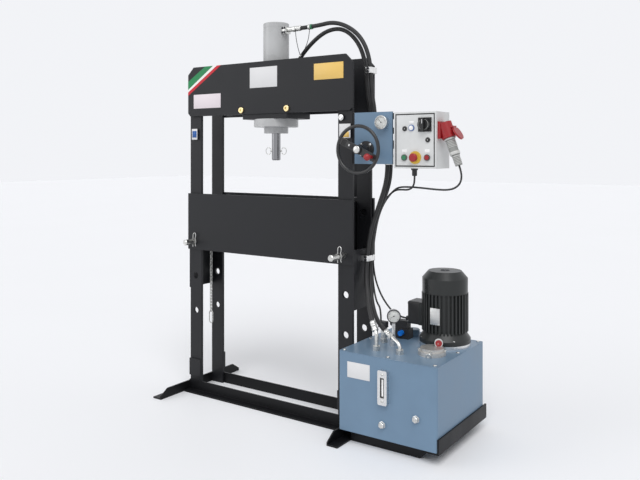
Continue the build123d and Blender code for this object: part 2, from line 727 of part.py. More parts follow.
def box_gear():
    """The mounting plate inside the box, with its rail and switchgear."""
    back = BOX_BACK - BOX_T
    left, right = BOX_LEFT + 2 * BOX_RIM, BOX_RIGHT - 2 * BOX_RIM
    low, top = BOX_LOW + 2 * BOX_RIM, BOX_TOP - 2 * BOX_RIM
    plate = block(left, right, back - GEAR_T, back, low, top)
    deep = back - GEAR_T - CONTACT_DEEP
    for count in range(CONTACTS):
        x = left + BOX_RIM + count * (CONTACT_W + BOX_RIM)
        plate += block(x, x + CONTACT_W, deep, back - GEAR_T, top - 2 * CONTACT_H, top - CONTACT_H)
    plate += block(left + BOX_RIM, right - BOX_RIM, deep + CONTACT_DEEP / 2, back - GEAR_T,
                   low + BOX_RIM, low + BOX_RIM + CONTACT_W)
    return plate


def bezel(x):
    """The ring round a push button and the contact block behind the door."""
    ring = round_y(BEZEL_R, x, BUTTON_Z, BOX_FRONT - BEZEL_T, BOX_FRONT)
    half = CONTACT_W / 2
    return ring + block(x - half, x + half, DOOR_BACK, DOOR_BACK + CONTACT_DEEP,
                        BUTTON_Z - half, BUTTON_Z + half)


def button_well(x):
    """The hole in which a button's cap and stem run."""
    well = round_y(CAP_R + PLUNGER_FIT, x, BUTTON_Z, BOX_FRONT - 2 * BEZEL_T, BOX_FRONT - BEZEL_T + CAP_T)
    back = BOX_FRONT + STEM_L + CAP_T
    return well + round_y(STEM_R + PLUNGER_FIT, x, BUTTON_Z, BOX_FRONT - BEZEL_T, back)


def door():
    """The door with its hinge tube, switch plate, bezels and contact blocks."""
    leaf = block(DOOR_LEFT, DOOR_RIGHT, BOX_FRONT, DOOR_BACK, DOOR_LOW, DOOR_TOP)
    leaf += round_z(HINGE_R, HINGE_X, HINGE_Y, DOOR_LOW, DOOR_TOP)
    leaf -= round_z(HINGE_PIN_R + RUN_FIT, HINGE_X, HINGE_Y, DOOR_LOW, DOOR_TOP)
    half = SWITCH_PLATE / 2
    x, z = SWITCH_AT
    leaf += block(x - half, x + half, BOX_FRONT - SWITCH_PLATE_T, BOX_FRONT, z - half, z + half)
    leaf += block(x - CONTACT_W, x + CONTACT_W, DOOR_BACK, DOOR_BACK + CONTACT_DEEP,
                  z - CONTACT_W, z + CONTACT_W)
    leaf -= round_y(SWITCH_STEM_R + RUN_FIT, x, z, BOX_FRONT - SWITCH_PLATE_T, BOX_FRONT + CONTACT_W)
    leaf += bezel(START_X) + bezel(STOP_X) + bezel(ESTOP_X)
    leaf += round_y(ESTOP_PLATE_R, ESTOP_X, BUTTON_Z, BOX_FRONT - ESTOP_PLATE_T, BOX_FRONT)
    return leaf - button_well(START_X) - button_well(STOP_X) - button_well(ESTOP_X)


def main_switch():
    """The turning knob with its grip and the stem through the door."""
    x, z = SWITCH_AT
    face = BOX_FRONT - SWITCH_PLATE_T
    knob = round_y(SWITCH_R, x, z, face - SWITCH_T, face)
    half = SWITCH_GRIP_W / 2
    knob += block(x - half, x + half, face - SWITCH_T - SWITCH_GRIP_T, face - SWITCH_T,
                  z - SWITCH_R, z + SWITCH_R)
    return knob + round_y(SWITCH_STEM_R, x, z, face, BOX_FRONT + CONTACT_W - BOX_T)


def push_button(x):
    """A button's cap and the stem behind it."""
    face = BOX_FRONT - BEZEL_T
    cap = round_y(CAP_R, x, BUTTON_Z, face - CAP_T / 2, face + CAP_T / 5)
    return cap + round_y(STEM_R, x, BUTTON_Z, face, face + STEM_L)


def emergency_stop():
    """The mushroom button on its stem."""
    face = BOX_FRONT - BEZEL_T
    head = round_y(ESTOP_HEAD_R, ESTOP_X, BUTTON_Z, face - ESTOP_LIFT - ESTOP_HEAD_T, face - ESTOP_LIFT)
    head = fillet(head.edges().filter_by(GeomType.CIRCLE).sort_by(Axis.Y)[0], ESTOP_HEAD_T / 2)
    stem = round_y(CAP_R - PLUNGER_FIT, ESTOP_X, BUTTON_Z, face - ESTOP_LIFT, face)
    return head + stem + round_y(STEM_R, ESTOP_X, BUTTON_Z, face, face + STEM_L)


# Socket, its lid and the plug
def tilted(piece):
    """A piece drawn hanging below the origin, moved to the socket's mouth."""
    x, z = SOCKET_SET
    return Pos(x, SOCKET_Y, z) * Rot(0, -SOCKET_TILT, 0) * piece


def socket_body():
    """The base on the box's side and the slanting socket."""
    half_w, half_h = SOCKET_BASE_W / 2, SOCKET_BASE_H / 2
    base = block(BOX_RIGHT, BOX_RIGHT + SOCKET_BASE_T, SOCKET_Y - half_w, SOCKET_Y + half_w,
                 SOCKET_Z - half_h, SOCKET_Z + half_h)
    tube = tilted(round_z(SOCKET_R, 0, 0, -SOCKET_L / 2, SOCKET_L / 2))
    neck = block(BOX_RIGHT, SOCKET_SET[0], SOCKET_Y - SOCKET_BORE_R, SOCKET_Y + SOCKET_BORE_R,
                 SOCKET_Z - SOCKET_BORE_R, SOCKET_Z + SOCKET_BORE_R)
    room = block(BOX_RIGHT - SOCKET_BASE_W, BOX_RIGHT, SOCKET_Y - SOCKET_BASE_W, SOCKET_Y + SOCKET_BASE_W,
                 SOCKET_Z - SOCKET_BASE_H, SOCKET_Z + SOCKET_BASE_H)
    mouth = tilted(round_z(SOCKET_BORE_R, 0, 0, -SOCKET_L / 2, PLUG_NECK - SOCKET_L / 2))
    x, z = LID_HINGE
    for side in (-LUG_INSET - LUG_GAP - LUG_W, LUG_INSET + LUG_GAP):
        y = SOCKET_Y + side
        base += block(SOCKET_SET[0], x + LID_HINGE_R, y, y + LUG_W, z - LID_HINGE_R, z + LID_HINGE_R)
    return base + tube + neck - room - mouth


def plug_end(beyond):
    """A point on the plug's axis, past the end where its cable leaves."""
    x, z = SOCKET_SET
    reach, tilt = SOCKET_L / 2 + PLUG_BODY + PLUG_CAP + beyond, math.radians(SOCKET_TILT)
    return x + reach * math.sin(tilt), SOCKET_Y, z - reach * math.cos(tilt)


def power_plug():
    """The plug that hangs from the socket."""
    mouth = -SOCKET_L / 2
    plug = round_z(PLUG_NECK_R, 0, 0, mouth, mouth + PLUG_NECK)
    plug += round_z(PLUG_R, 0, 0, mouth - PLUG_BODY, mouth)
    plug += round_z(PLUG_CAP_R, 0, 0, mouth - PLUG_BODY - PLUG_CAP, mouth - PLUG_BODY)
    return tilted(plug)


def socket_lid():
    """The open lid, which hangs from its hinge outside the plug."""
    x, z = LID_HINGE
    disc = round_z(LID_R, LID_R, 0, -LID_T / 2, LID_T / 2)
    disc -= block(-LID_R, 2 * LID_HINGE_R, -LID_R, LID_R, -LID_T, LID_T)
    leaf = disc + round_y(LID_HINGE_R, 0, 0, -LUG_INSET, LUG_INSET)
    leaf += block(0, LID_R / 2, -LUG_INSET, LUG_INSET, -LID_HINGE_R / 2, LID_HINGE_R / 2)
    return Pos(x, SOCKET_Y, z) * Rot(0, LID_HANG, 0) * leaf


# Tank and supports
def tank_shell():
    """The open tank of sheet steel with rounded corners."""
    width, depth, high = TANK_W, TANK_D, LID_LOW - TANK_LOW
    mid = Pos(TANK_LEFT + width / 2, TANK_FRONT + depth / 2, TANK_LOW)
    outer = extrude(RectangleRounded(width, depth, TANK_ROUND), amount=high)
    wall = TANK_WALL
    inner = extrude(RectangleRounded(width - 2 * wall, depth - 2 * wall, TANK_ROUND - wall), amount=high)
    return mid * (outer - Pos(0, 0, wall) * inner)


def tank_lid():
    """The cover plate, with holes for the pump's bell and the filter's bowl."""
    lid = Pos(TANK_LEFT + TANK_W / 2, TANK_FRONT + TANK_D / 2, LID_LOW) * extrude(
        RectangleRounded(TANK_W, TANK_D, TANK_ROUND), amount=TANK_LID)
    lid -= round_z(BELL_TUBE_R, MOTOR_X, MOTOR_Y, LID_LOW, TANK_TOP)
    return lid - round_z(FILTER_BOWL_R, FILTER_X, FILTER_Y, LID_LOW, TANK_TOP)


def cross_support(y, inward):
    """An angle on the floor from the right foot out under the tank."""
    start, end = END_X + FOOT_FLANGE, SUPPORT_END_X
    web = prism([(start, y, 0), (end - SUPPORT_CUT, y, 0), (end, y, SUPPORT_CUT), (end, y, TANK_LOW),
                 (start, y, TANK_LOW)], (0, inward, 0), SUPPORT_T)
    y0, y1 = sorted((y, y + inward * SUPPORT_LEG))
    return web + block(start, end, y0, y1, TANK_LOW - SUPPORT_T, TANK_LOW)


def side_rail():
    """The angle that holds the tank's right lower edge."""
    low, back = TANK_LOW - SUPPORT_T, TANK_BACK + SIDE_RAIL_TAIL
    wall = block(TANK_RIGHT, TANK_RIGHT + SUPPORT_T, TANK_FRONT, back, low, low + SIDE_RAIL_H)
    return wall + block(TANK_RIGHT - SIDE_RAIL_LEG, TANK_RIGHT, TANK_FRONT, back, low, TANK_LOW)


def tank_supports():
    """The two cross angles and the rail at the side."""
    return group([cross_support(SUPPORT_FRONT_Y, 1), cross_support(SUPPORT_REAR_Y, -1), side_rail()])


def level_gauge():
    """The oil level gauge on the front of the tank."""
    right, top = LEVEL_X + LEVEL_W, LEVEL_LOW + LEVEL_H
    front = TANK_FRONT - LEVEL_T
    case = block(LEVEL_X, right, front, TANK_FRONT, LEVEL_LOW, top)
    case = fillet(case.edges().filter_by(Axis.Y), LEVEL_SLOT_T)
    half_w, half_h = LEVEL_SLOT_W / 2, LEVEL_H * LEVEL_SLOT_SHARE / 2
    mid_x, mid_z = LEVEL_X + LEVEL_W / 2, LEVEL_LOW + LEVEL_H / 2
    return case - block(mid_x - half_w, mid_x + half_w, front, front + LEVEL_SLOT_T,
                        mid_z - half_h, mid_z + half_h)


# Pump, motor and what stands on the tank
def bell_ring():
    """The ring under the motor and the tube that carries the pump."""
    ring = round_z(BELL_R, MOTOR_X, MOTOR_Y, TANK_TOP, BELL_TOP)
    ring += round_z(BELL_TUBE_R, MOTOR_X, MOTOR_Y, TANK_TOP - BELL_TUBE_L, TANK_TOP)
    inner = BELL_TUBE_R - BELL_TUBE_WALL
    return ring - round_z(inner, MOTOR_X, MOTOR_Y, TANK_TOP - BELL_TUBE_L, BELL_TOP)


def gear_pump():
    """The pump under the bell, in the oil."""
    top = TANK_TOP - BELL_TUBE_L
    half = PUMP_W / 2
    body = block(MOTOR_X - half, MOTOR_X + half, MOTOR_Y - half, MOTOR_Y + half,
                 top - PUMP_H, top - PUMP_FLANGE)
    body += round_z(BELL_TUBE_R, MOTOR_X, MOTOR_Y, top - PUMP_FLANGE, top)
    return body - round_z(ROTOR_SHAFT_R + RUN_FIT, MOTOR_X, MOTOR_Y, top - 2 * PUMP_FLANGE, top)


def finned_outline():
    """The ribbed section of the motor's body."""
    points = []
    for rib in range(MOTOR_FINS):
        corners = ((0, MOTOR_CORE_R), (0, MOTOR_FIN_R), (FIN_SHARE, MOTOR_FIN_R), (FIN_SHARE, MOTOR_CORE_R))
        for turn, r in corners:
            angle = math.tau * (rib + turn) / MOTOR_FINS
            points.append((r * math.cos(angle), r * math.sin(angle), MOTOR_BELL_TOP))
    return points


def motor_housing():
    """The ribbed body with its flange, bearing walls and terminal pad."""
    low, top = BELL_TOP, MOTOR_BODY_TOP
    flange_top = low + MOTOR_FLANGE_T
    body = turned([(0, low), (BELL_R, low), (BELL_R, flange_top), (MOTOR_CORE_R, MOTOR_BELL_TOP),
                   (MOTOR_CORE_R, top), (0, top)], MOTOR_X, MOTOR_Y)
    body += Pos(MOTOR_X, MOTOR_Y, 0) * prism(finned_outline(), (0, 0, 1), top - MOTOR_BELL_TOP)
    half = TERMINAL_W / 2
    body += block(PAD_X, PAD_X + TERMINAL_PAD, MOTOR_Y - half, MOTOR_Y + half,
                  TERMINAL_LOW, TERMINAL_LOW + TERMINAL_H)
    body -= round_z(MOTOR_BORE_R, MOTOR_X, MOTOR_Y, low + MOTOR_WALL, top - MOTOR_WALL)
    return body - round_z(ROTOR_SHAFT_R + RUN_FIT, MOTOR_X, MOTOR_Y, low, top)


def rotor():
    """The shaft with its core, the fan and the pump's drive."""
    pump_top = TANK_TOP - BELL_TUBE_L
    shaft = round_z(ROTOR_SHAFT_R, MOTOR_X, MOTOR_Y, pump_top - PUMP_FLANGE, COWL_SIDE_TOP - FAN_T)
    mid = (BELL_TOP + MOTOR_BODY_TOP) / 2
    shaft += round_z(ROTOR_R, MOTOR_X, MOTOR_Y, mid - ROTOR_L / 2, mid + ROTOR_L / 2)
    low = MOTOR_BODY_TOP + FAN_BLADE_H
    shaft += round_z(FAN_R, MOTOR_X, MOTOR_Y, low, low + FAN_T)
    half = FAN_BLADE_T / 2
    blade = block(ROTOR_SHAFT_R / 2, FAN_R - FAN_BLADE_T, -half, half, low, low + FAN_BLADE_H)
    for count in range(FAN_BLADES):
        shaft += Pos(MOTOR_X, MOTOR_Y, 0) * Rot(0, 0, 360 * count / FAN_BLADES) * blade
    return shaft


def fan_cowl():
    """The cover over the fan, with a tapered top and an open eye."""
    eye = COWL_TOP_R / 4
    return turned([(COWL_R - COWL_T, MOTOR_BODY_TOP), (COWL_R, MOTOR_BODY_TOP), (COWL_R, COWL_SIDE_TOP),
                   (COWL_TOP_R, COWL_TOP), (eye, COWL_TOP), (eye, COWL_TOP - COWL_T),
                   (COWL_TOP_R - COWL_T, COWL_TOP - COWL_T),
                   (COWL_R - COWL_T, COWL_SIDE_TOP - COWL_T)], MOTOR_X, MOTOR_Y)


def terminal_box():
    """The box on the motor's side, with the gland of its cable."""
    half = TERMINAL_W / 2
    box = block(TERMINAL_LEFT, PAD_X, MOTOR_Y - half, MOTOR_Y + half,
                TERMINAL_LOW, TERMINAL_LOW + TERMINAL_H)
    box = fillet(box.edges().filter_by(Axis.X), TANK_ROUND)
    return box + round_x(TERMINAL_GLAND_R, MOTOR_Y - TERMINAL_GLAND_SIDE, TERMINAL_GLAND_Z,
                         TERMINAL_LEFT - TERMINAL_GLAND_L, TERMINAL_LEFT)


def return_filter():
    """The two-step head of the return filter and its bowl in the oil."""
    low, top = TANK_TOP - FILTER_BOWL, TANK_TOP + FILTER_BASE_T
    return turned([(0, low), (FILTER_BOWL_R, low), (FILTER_BOWL_R, TANK_TOP), (FILTER_R, TANK_TOP),
                   (FILTER_R, top), (FILTER_TOP_R, top), (FILTER_TOP_R, top + FILTER_TOP_T),
                   (0, top + FILTER_TOP_T)], FILTER_X, FILTER_Y)


def filler_cap():
    """The screwed cap of the oil filler on its neck."""
    low, top = TANK_TOP + FILLER_NECK, TANK_TOP + FILLER_H
    return turned([(0, TANK_TOP), (FILLER_NECK_R, TANK_TOP), (FILLER_NECK_R, low), (FILLER_R, low),
                   (FILLER_R, top - FILLER_CUT), (FILLER_R - FILLER_CUT, top), (0, top)],
                  FILLER_X, TANK_BACK - FILLER_FROM_BACK)


def unit_valves():
    """The port block with its spool valve and coil, and the plug on the pressure sensor."""
    left, front = MANIFOLD_LEFT, MANIFOLD_FRONT
    top = TANK_TOP + MANIFOLD_H
    low = block(left, left + MANIFOLD_L, front, front + MANIFOLD_DEEP, TANK_TOP, top)
    spool = block(left - SPOOL_INSET, left + MANIFOLD_L - 2 * SPOOL_INSET, front + SPOOL_INSET,
                  front + MANIFOLD_DEEP - SPOOL_INSET, top, top + SPOOL_H)
    y, z = front + MANIFOLD_DEEP / 2, top + SPOOL_H / 2
    coil = round_x(COIL_R, y, z, left - SPOOL_INSET - COIL_L, left - SPOOL_INSET)
    x, z = KNOB_AT
    valve = low + spool + coil - round_y(KNOB_STEM_R + RUN_FIT, x, z, front, front + KNOB_STEM)
    x, y = SENSOR_AT
    half = SENSOR_PLUG_DEEP / 2
    plug = block(x - SENSOR_PLUG_LEFT, x + SENSOR_PLUG_RIGHT, y - half, y + half,
                 SENSOR_TOP, SENSOR_TOP + SENSOR_PLUG_H)
    return group([valve, plug])


def relief_knob():
    """The knob that sets the relief valve in the port block."""
    x, z = KNOB_AT
    face = MANIFOLD_FRONT - SPINNER_GAP
    knob = round_y(KNOB_R, x, z, face - KNOB_L, face)
    return knob + round_y(KNOB_STEM_R, x, z, face, face + KNOB_STEM)


def straight_fitting(x, y, z0, z1):
    """A screwed end that stands along Z, its nut at the lower end."""
    return round_z(FITTING_R, x, y, z0, z1) + hex_z(PORT_HEX_R, x, y, z0, z0 + FITTING_HEX_L)


def sensor_body():
    """The pressure sensor's body, with two nuts on its stem."""
    x, y = SENSOR_AT
    body = round_z(FITTING_R, x, y, TANK_TOP, SENSOR_TOP)
    for low in (TANK_TOP, SENSOR_TOP - FITTING_HEX_L):
        body += hex_z(FITTING_HEX_R, x, y, low, low + FITTING_HEX_L)
    return body


def bent_end(route, port_x):
    """The bent pipe that leads a hose from its end down into the tank's lid."""
    end, before = Vector(route[-1]), Vector(route[-2])
    corner = end + (end - before) * ((port_x - end.X) / (end.X - before.X))
    foot = Vector(corner.X, corner.Y, TANK_TOP)
    mouth = Plane(end, z_dir=corner - end)
    pipe = sweep(mouth * Circle(PIPE_R), path=FilletPolyline(end, corner, foot, radius=PIPE_BEND))
    pipe += extrude(mouth * RegularPolygon(FITTING_R, 6), amount=COLLAR_L)
    return pipe + hex_z(FITTING_HEX_R, foot.X, foot.Y, TANK_TOP, TANK_TOP + FITTING_HEX_L)


def cylinder_fittings():
    """The straight end at the cylinder's top and the elbow at its foot."""
    wall = round_z(BARREL_D / 2, 0, 0, PORT_LOW_Z - BARREL_D, BARREL_TOP)
    top = round_x(FITTING_R, HOSE_DOWN[0][1], PORT_TOP_Z, 0, PORT_TOP_END) - wall
    y = HOSE_UP[0][1]
    elbow = round_x(FITTING_HEX_R, y, PORT_LOW_Z, 0, ELBOW_X + FITTING_HEX_R)
    elbow += round_z(FITTING_R, ELBOW_X, y, PORT_LOW_Z, ELBOW_TOP)
    return [top, elbow - wall]


def hose_fittings():
    """The screwed ends in which the hoses are held."""
    valve_top = WHEEL_Z + VALVE_SIDE / 2
    ports = [straight_fitting(x, y, valve_top, VALVE_FITTING_TOP) for x, y in VALVE_PORTS]
    ports += [round_z(FITTING_R, SUPPLY_X, y, SUPPLY_FITTING_LOW, MANIFOLD_Z[0]) for y in SUPPLY_YS]
    ports += [bent_end(HOSE_PRESSURE, PRESSURE_PORT_X), bent_end(HOSE_RETURN, RETURN_PORT_X)]
    return group(cylinder_fittings() + ports + [sensor_body()])


# Hoses and cables
def bend_radius(a, b, c):
    """The largest tidy arc at the middle one of three points of a route."""
    before, after = Vector(b) - Vector(a), Vector(c) - Vector(b)
    half_turn = math.radians(before.get_angle(after)) / 2
    return ARC_SHARE * min(before.length, after.length) / math.tan(half_turn)


def tube(name, points, width):
    """A round cord swept along its route of runs and arcs."""
    radii = [bend_radius(*points[i - 1:i + 2]) for i in range(1, len(points) - 1)]
    path = FilletPolyline(*points, radius=radii)
    start = Plane(points[0], z_dir=Vector(points[1]) - Vector(points[0]))
    cord = sweep(start * Circle(width / 2), path=path)
    section = math.pi * width ** 2 / 4
    print(name, "length", round(path.length), "least radius", round(min(radii)),
          "volume share", round(cord.volume / (section * path.length), 3))
    return cord


CORDS = {
    "hose_down": tube("hose_down", HOSE_DOWN, HOSE_D),
    "hose_up": tube("hose_up", HOSE_UP, HOSE_D),
    "hose_pressure": tube("hose_pressure", HOSE_PRESSURE, HOSE_D),
    "hose_return": tube("hose_return", HOSE_RETURN, HOSE_D),
    "cable_control": tube("cable_control", CABLE_CONTROL, CABLE_D),
    "cable_motor": tube("cable_motor", [plug_end(0), plug_end(CABLE_LEAD)] + CABLE_MOTOR, CABLE_D),
    "power_plug": power_plug(),
}

PIECES = {
    "head_plate_front": head_plate(True),
    "head_plate_rear": head_plate(False),
    "uprights_left": uprights(True),
    "uprights_right": uprights(False),
    "tie_plates": tie_plates(),
    "foot_left": foot(True),
    "foot_right": foot(False),
    "base_beams": base_beams(),
    "bed_plate_front": bed_plate(True),
    "bed_plate_rear": bed_plate(False),
    "bed_spacers": bed_spacers(),
    "chain": chain(),
    "saddle": saddle(),
    "barrel": barrel(),
    "cylinder_cap": cylinder_cap(),
    "flange": flange(),
    "gland": gland(),
    "piston": piston(),
    "rod": rod(),
    "nose": nose(),
    "bed_pin_left": bed_pin(True),
    "bed_pin_right": bed_pin(False),
    "valve_panel": valve_panel(),
    "panel_straps": panel_straps(),
    "steering_valve": steering_valve(),
    "handwheel": handwheel(),
    "spinner": spinner(),
    "gauges": gauges(),
    "control_box": control_box(),
    "box_gear": box_gear(),
    "door": door(),
    "main_switch": main_switch(),
    "start_button": push_button(START_X),
    "stop_button": push_button(STOP_X),
    "emergency_stop": emergency_stop(),
    "socket_body": socket_body(),
    "socket_lid": socket_lid(),
    "tank_shell": tank_shell(),
    "tank_lid": tank_lid(),
    "tank_supports": tank_supports(),
    "level_gauge": level_gauge(),
    "bell_ring": bell_ring(),
    "gear_pump": gear_pump(),
    "motor_housing": motor_housing(),
    "rotor": rotor(),
    "fan_cowl": fan_cowl(),
    "terminal_box": terminal_box(),
    "return_filter": return_filter(),
    "filler_cap": filler_cap(),
    "unit_valves": unit_valves(),
    "relief_knob": relief_knob(),
    "hose_fittings": hose_fittings(),
}

# The whole machine moved to the middle of its footprint
whole = Compound([solid for piece in PIECES.values() for solid in piece.solids()]).bounding_box()
TO_ORIGIN = Pos(-whole.center().X, -whole.center().Y, 0)
print("moved by", round(-whole.center().X, 3), round(-whole.center().Y, 3))
print("size", [round(side, 1) for side in whole.size])

os.makedirs("parts", exist_ok=True)
for node, piece in {**PIECES, **CORDS}.items():
    export_step(TO_ORIGIN * piece, f"parts/{node}.step")
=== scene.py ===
import math

import bmesh
import bpy
from bpy.props import FloatProperty, FloatVectorProperty, PointerProperty
from mathutils import Matrix, Vector


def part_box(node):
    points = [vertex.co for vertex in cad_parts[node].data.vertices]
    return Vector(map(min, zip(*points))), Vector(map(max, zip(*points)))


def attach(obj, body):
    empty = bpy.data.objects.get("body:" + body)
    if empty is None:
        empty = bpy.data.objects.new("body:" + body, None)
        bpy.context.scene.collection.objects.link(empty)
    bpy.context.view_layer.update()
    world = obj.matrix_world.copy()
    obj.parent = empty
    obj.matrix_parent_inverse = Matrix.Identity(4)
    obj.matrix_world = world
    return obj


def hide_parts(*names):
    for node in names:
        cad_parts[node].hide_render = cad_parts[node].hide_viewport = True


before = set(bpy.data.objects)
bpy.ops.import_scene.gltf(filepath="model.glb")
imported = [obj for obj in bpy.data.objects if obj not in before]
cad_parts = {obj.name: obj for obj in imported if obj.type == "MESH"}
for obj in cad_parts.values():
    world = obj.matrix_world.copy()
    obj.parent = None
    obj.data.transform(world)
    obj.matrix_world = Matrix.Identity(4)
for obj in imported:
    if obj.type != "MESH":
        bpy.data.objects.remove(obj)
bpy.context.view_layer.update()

bl_info = {
    "name": "Workshop press dressing",
    "version": (1, 0, 0),
    "blender": (4, 5, 0),
    "location": "View3D > Sidebar > Press",
    "description": "Finishes, hoses, cables and small fittings of a hydraulic workshop press",
    "category": "Add Mesh",
}


# Places read from the frame, in metres
def low(node):
    """The lowest corner of a node's box."""
    return Vector(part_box(node)[0])


def high(node):
    """The highest corner of a node's box."""
    return Vector(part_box(node)[1])


def middle(node):
    """The middle of a node's box."""
    return (low(node) + high(node)) / 2


MM = 0.001
AXIS_X = middle("rod").x
HEAD_FACE = low("head_plate_front").y
BAR_FACE = low("uprights_left").y  # the face of the doublers at the feet
DOOR_FACE = low("control_box").y
TANK_FACE = low("tank_shell").y
PANEL_FACE = low("valve_panel").y
FRONT, UP, DOWN = (0, -1, 0), (0, 0, 1), (0, 0, -1)


def spot(x, y, z, face=None, top=None):
    """A place from millimetres about the ram's axis; face and top give Y and Z in metres instead."""
    return Vector((x * MM + AXIS_X, y * MM if face is None else face, z * MM if top is None else top))


# Routes of the hoses and cables, in metres about the ram's axis
ROUTES = {
    "hose_down": [(0.140, -0.013, 2.035), (0.265, -0.013, 2.035), (0.400, -0.013, 2.050),
                  (0.532, -0.013, 1.980), (0.601, -0.013, 1.860), (0.612, -0.013, 1.670),
                  (0.632, -0.013, 1.565), (0.632, -0.013, 1.475)],
    "hose_up": [(0.100, 0.013, 1.715), (0.100, 0.013, 1.805), (0.165, 0.013, 1.898), (0.255, 0.013, 1.975),
                (0.340, 0.013, 2.015), (0.430, 0.013, 2.012), (0.512, 0.013, 1.945), (0.560, 0.013, 1.840),
                (0.571, 0.013, 1.680), (0.598, 0.013, 1.565), (0.598, 0.013, 1.475)],
    "hose_pressure": [(0.704, -0.016, 1.350), (0.704, -0.016, 1.275), (0.688, -0.015, 1.195),
                      (0.645, -0.014, 1.085), (0.604, -0.014, 0.975), (0.588, -0.014, 0.860),
                      (0.588, -0.030, 0.750), (0.622, -0.066, 0.662), (0.664, -0.118, 0.588),
                      (0.706, -0.146, 0.532)],
    "hose_return": [(0.704, 0.016, 1.350), (0.704, 0.016, 1.275), (0.690, 0.015, 1.195), (0.640, 0.014, 1.085),
                    (0.602, 0.014, 0.975), (0.592, 0.014, 0.860), (0.590, 0.008, 0.760),
                    (0.612, -0.022, 0.680), (0.644, -0.058, 0.612), (0.684, -0.090, 0.562),
                    (0.732, -0.116, 0.530), (0.784, -0.134, 0.506)],
    "cable_control": [(0.856, -0.026, 1.262), (0.856, -0.026, 1.234), (0.850, -0.025, 1.212),
                      (0.836, -0.023, 1.197), (0.812, -0.018, 1.190), (0.776, -0.003, 1.190),
                      (0.735, 0.018, 1.187), (0.700, 0.034, 1.172), (0.668, 0.042, 1.145),
                      (0.634, 0.044, 1.105), (0.604, 0.044, 1.040), (0.586, 0.044, 0.960),
                      (0.578, 0.044, 0.880), (0.576, 0.046, 0.800), (0.580, 0.050, 0.750),
                      (0.592, 0.044, 0.680), (0.620, 0.020, 0.622), (0.664, -0.012, 0.598),
                      (0.664, -0.012, 0.537)],
    "cable_motor": [(0.747, 0.105, 0.540), (0.690, 0.105, 0.540), (0.622, 0.090, 0.616), (0.588, 0.070, 0.710),
                    (0.578, 0.060, 0.800), (0.580, 0.058, 0.880), (0.592, 0.058, 0.965), (0.612, 0.058, 1.050),
                    (0.642, 0.058, 1.116), (0.676, 0.057, 1.158), (0.712, 0.046, 1.188), (0.752, 0.024, 1.201),
                    (0.805, 0.002, 1.204), (0.880, -0.020, 1.203), (0.975, -0.038, 1.197),
                    (1.042, -0.046, 1.197), (1.083, -0.049, 1.211), (1.105, -0.050, 1.240),
                    (1.10579, -0.050, 1.27998), (1.09389, -0.050, 1.31183)],
}
HOSES = ("hose_down", "hose_up", "hose_pressure", "hose_return")


def route(node):
    """The points of a hose or cable in the shared frame."""
    return [(x + AXIS_X, y, z) for x, y, z in ROUTES[node]]


class PressColours(bpy.types.PropertyGroup):
    """Colours of the finishes."""
    frame_black: FloatVectorProperty(name="Frame", description="Satin black paint", subtype="COLOR",
                                     size=3, default=(0.0105, 0.011, 0.0132))
    tank_blue: FloatVectorProperty(name="Tank", description="Blue-grey paint", subtype="COLOR",
                                   size=3, default=(0.146, 0.232, 0.335))
    cylinder_grey: FloatVectorProperty(name="Cylinder", description="Pale grey paint", subtype="COLOR",
                                       size=3, default=(0.44, 0.445, 0.45))
    box_grey: FloatVectorProperty(name="Box", description="Pale textured paint", subtype="COLOR",
                                  size=3, default=(0.66, 0.67, 0.67))
    motor_grey: FloatVectorProperty(name="Motor", description="Dark grey paint", subtype="COLOR",
                                    size=3, default=(0.021, 0.023, 0.023))
    socket_red: FloatVectorProperty(name="Socket", description="Red plastic", subtype="COLOR",
                                    size=3, default=(0.31, 0.012, 0.016))
    start_green: FloatVectorProperty(name="Start", description="Green plastic", subtype="COLOR",
                                     size=3, default=(0.03, 0.20, 0.09))
    knob_blue: FloatVectorProperty(name="Knob", description="Blue plastic", subtype="COLOR",
                                   size=3, default=(0.005, 0.20, 0.78))


class PressSizes(bpy.types.PropertyGroup):
    """Sizes of the small fittings."""
    hose: FloatProperty(name="Hose", description="Outer width of a hose", unit="LENGTH", default=0.022)
    cable: FloatProperty(name="Cable", description="Outer width of a cable", unit="LENGTH", default=0.009)
    edge: FloatProperty(name="Edge", description="Width of a broken edge", unit="LENGTH", default=0.002)
    plate: FloatProperty(name="Plate", description="Thickness of a bare plate", unit="LENGTH", default=0.0012)
    wire: FloatProperty(name="Wire", description="Width of the wire of clips and rings", unit="LENGTH",
                        default=0.0042)


class StageSettings(bpy.types.PropertyGroup):
    """Camera and light."""
    camera_side: FloatProperty(name="Camera side", description="From the ram's axis", unit="LENGTH",
                               default=2.40575)
    camera_back: FloatProperty(name="Camera back", description="In front of the ram", unit="LENGTH",
                               default=3.10855)
    camera_height: FloatProperty(name="Camera height", description="Above the floor", unit="LENGTH",
                                 default=1.365)
    camera_yaw: FloatProperty(name="Camera yaw", description="Turn to the left", subtype="ANGLE",
                              default=math.radians(34.23))
    lens: FloatProperty(name="Lens", description="Focal length in millimetres", default=40.196)
    shift: FloatProperty(name="Shift", description="Vertical shift of the frame", default=-0.1348)
    pale: FloatVectorProperty(name="Floor", description="Floor and background", subtype="COLOR", size=3,
                              default=(0.89, 0.90, 0.93))
    world_light: FloatProperty(name="World", description="Strength of the even light", default=0.52)
    key_light: FloatProperty(name="Key", description="Strength of the main lamp", default=1.55)
    fill_light: FloatProperty(name="Fill", description="Strength of the lamp on the left", default=0.5)
    lamp_spread: FloatProperty(name="Spread", description="Width of a lamp as an angle", subtype="ANGLE",
                               default=math.radians(40))


# Modelling helpers
def clear_selection():
    """Leaves edit mode and selects nothing."""
    if bpy.context.object and bpy.context.object.mode != "OBJECT":
        bpy.ops.object.mode_set(mode="OBJECT")
    bpy.ops.object.select_all(action="DESELECT")


def alone(piece):
    """Selects one piece and makes it active."""
    clear_selection()
    piece.select_set(True)
    bpy.context.view_layer.objects.active = piece


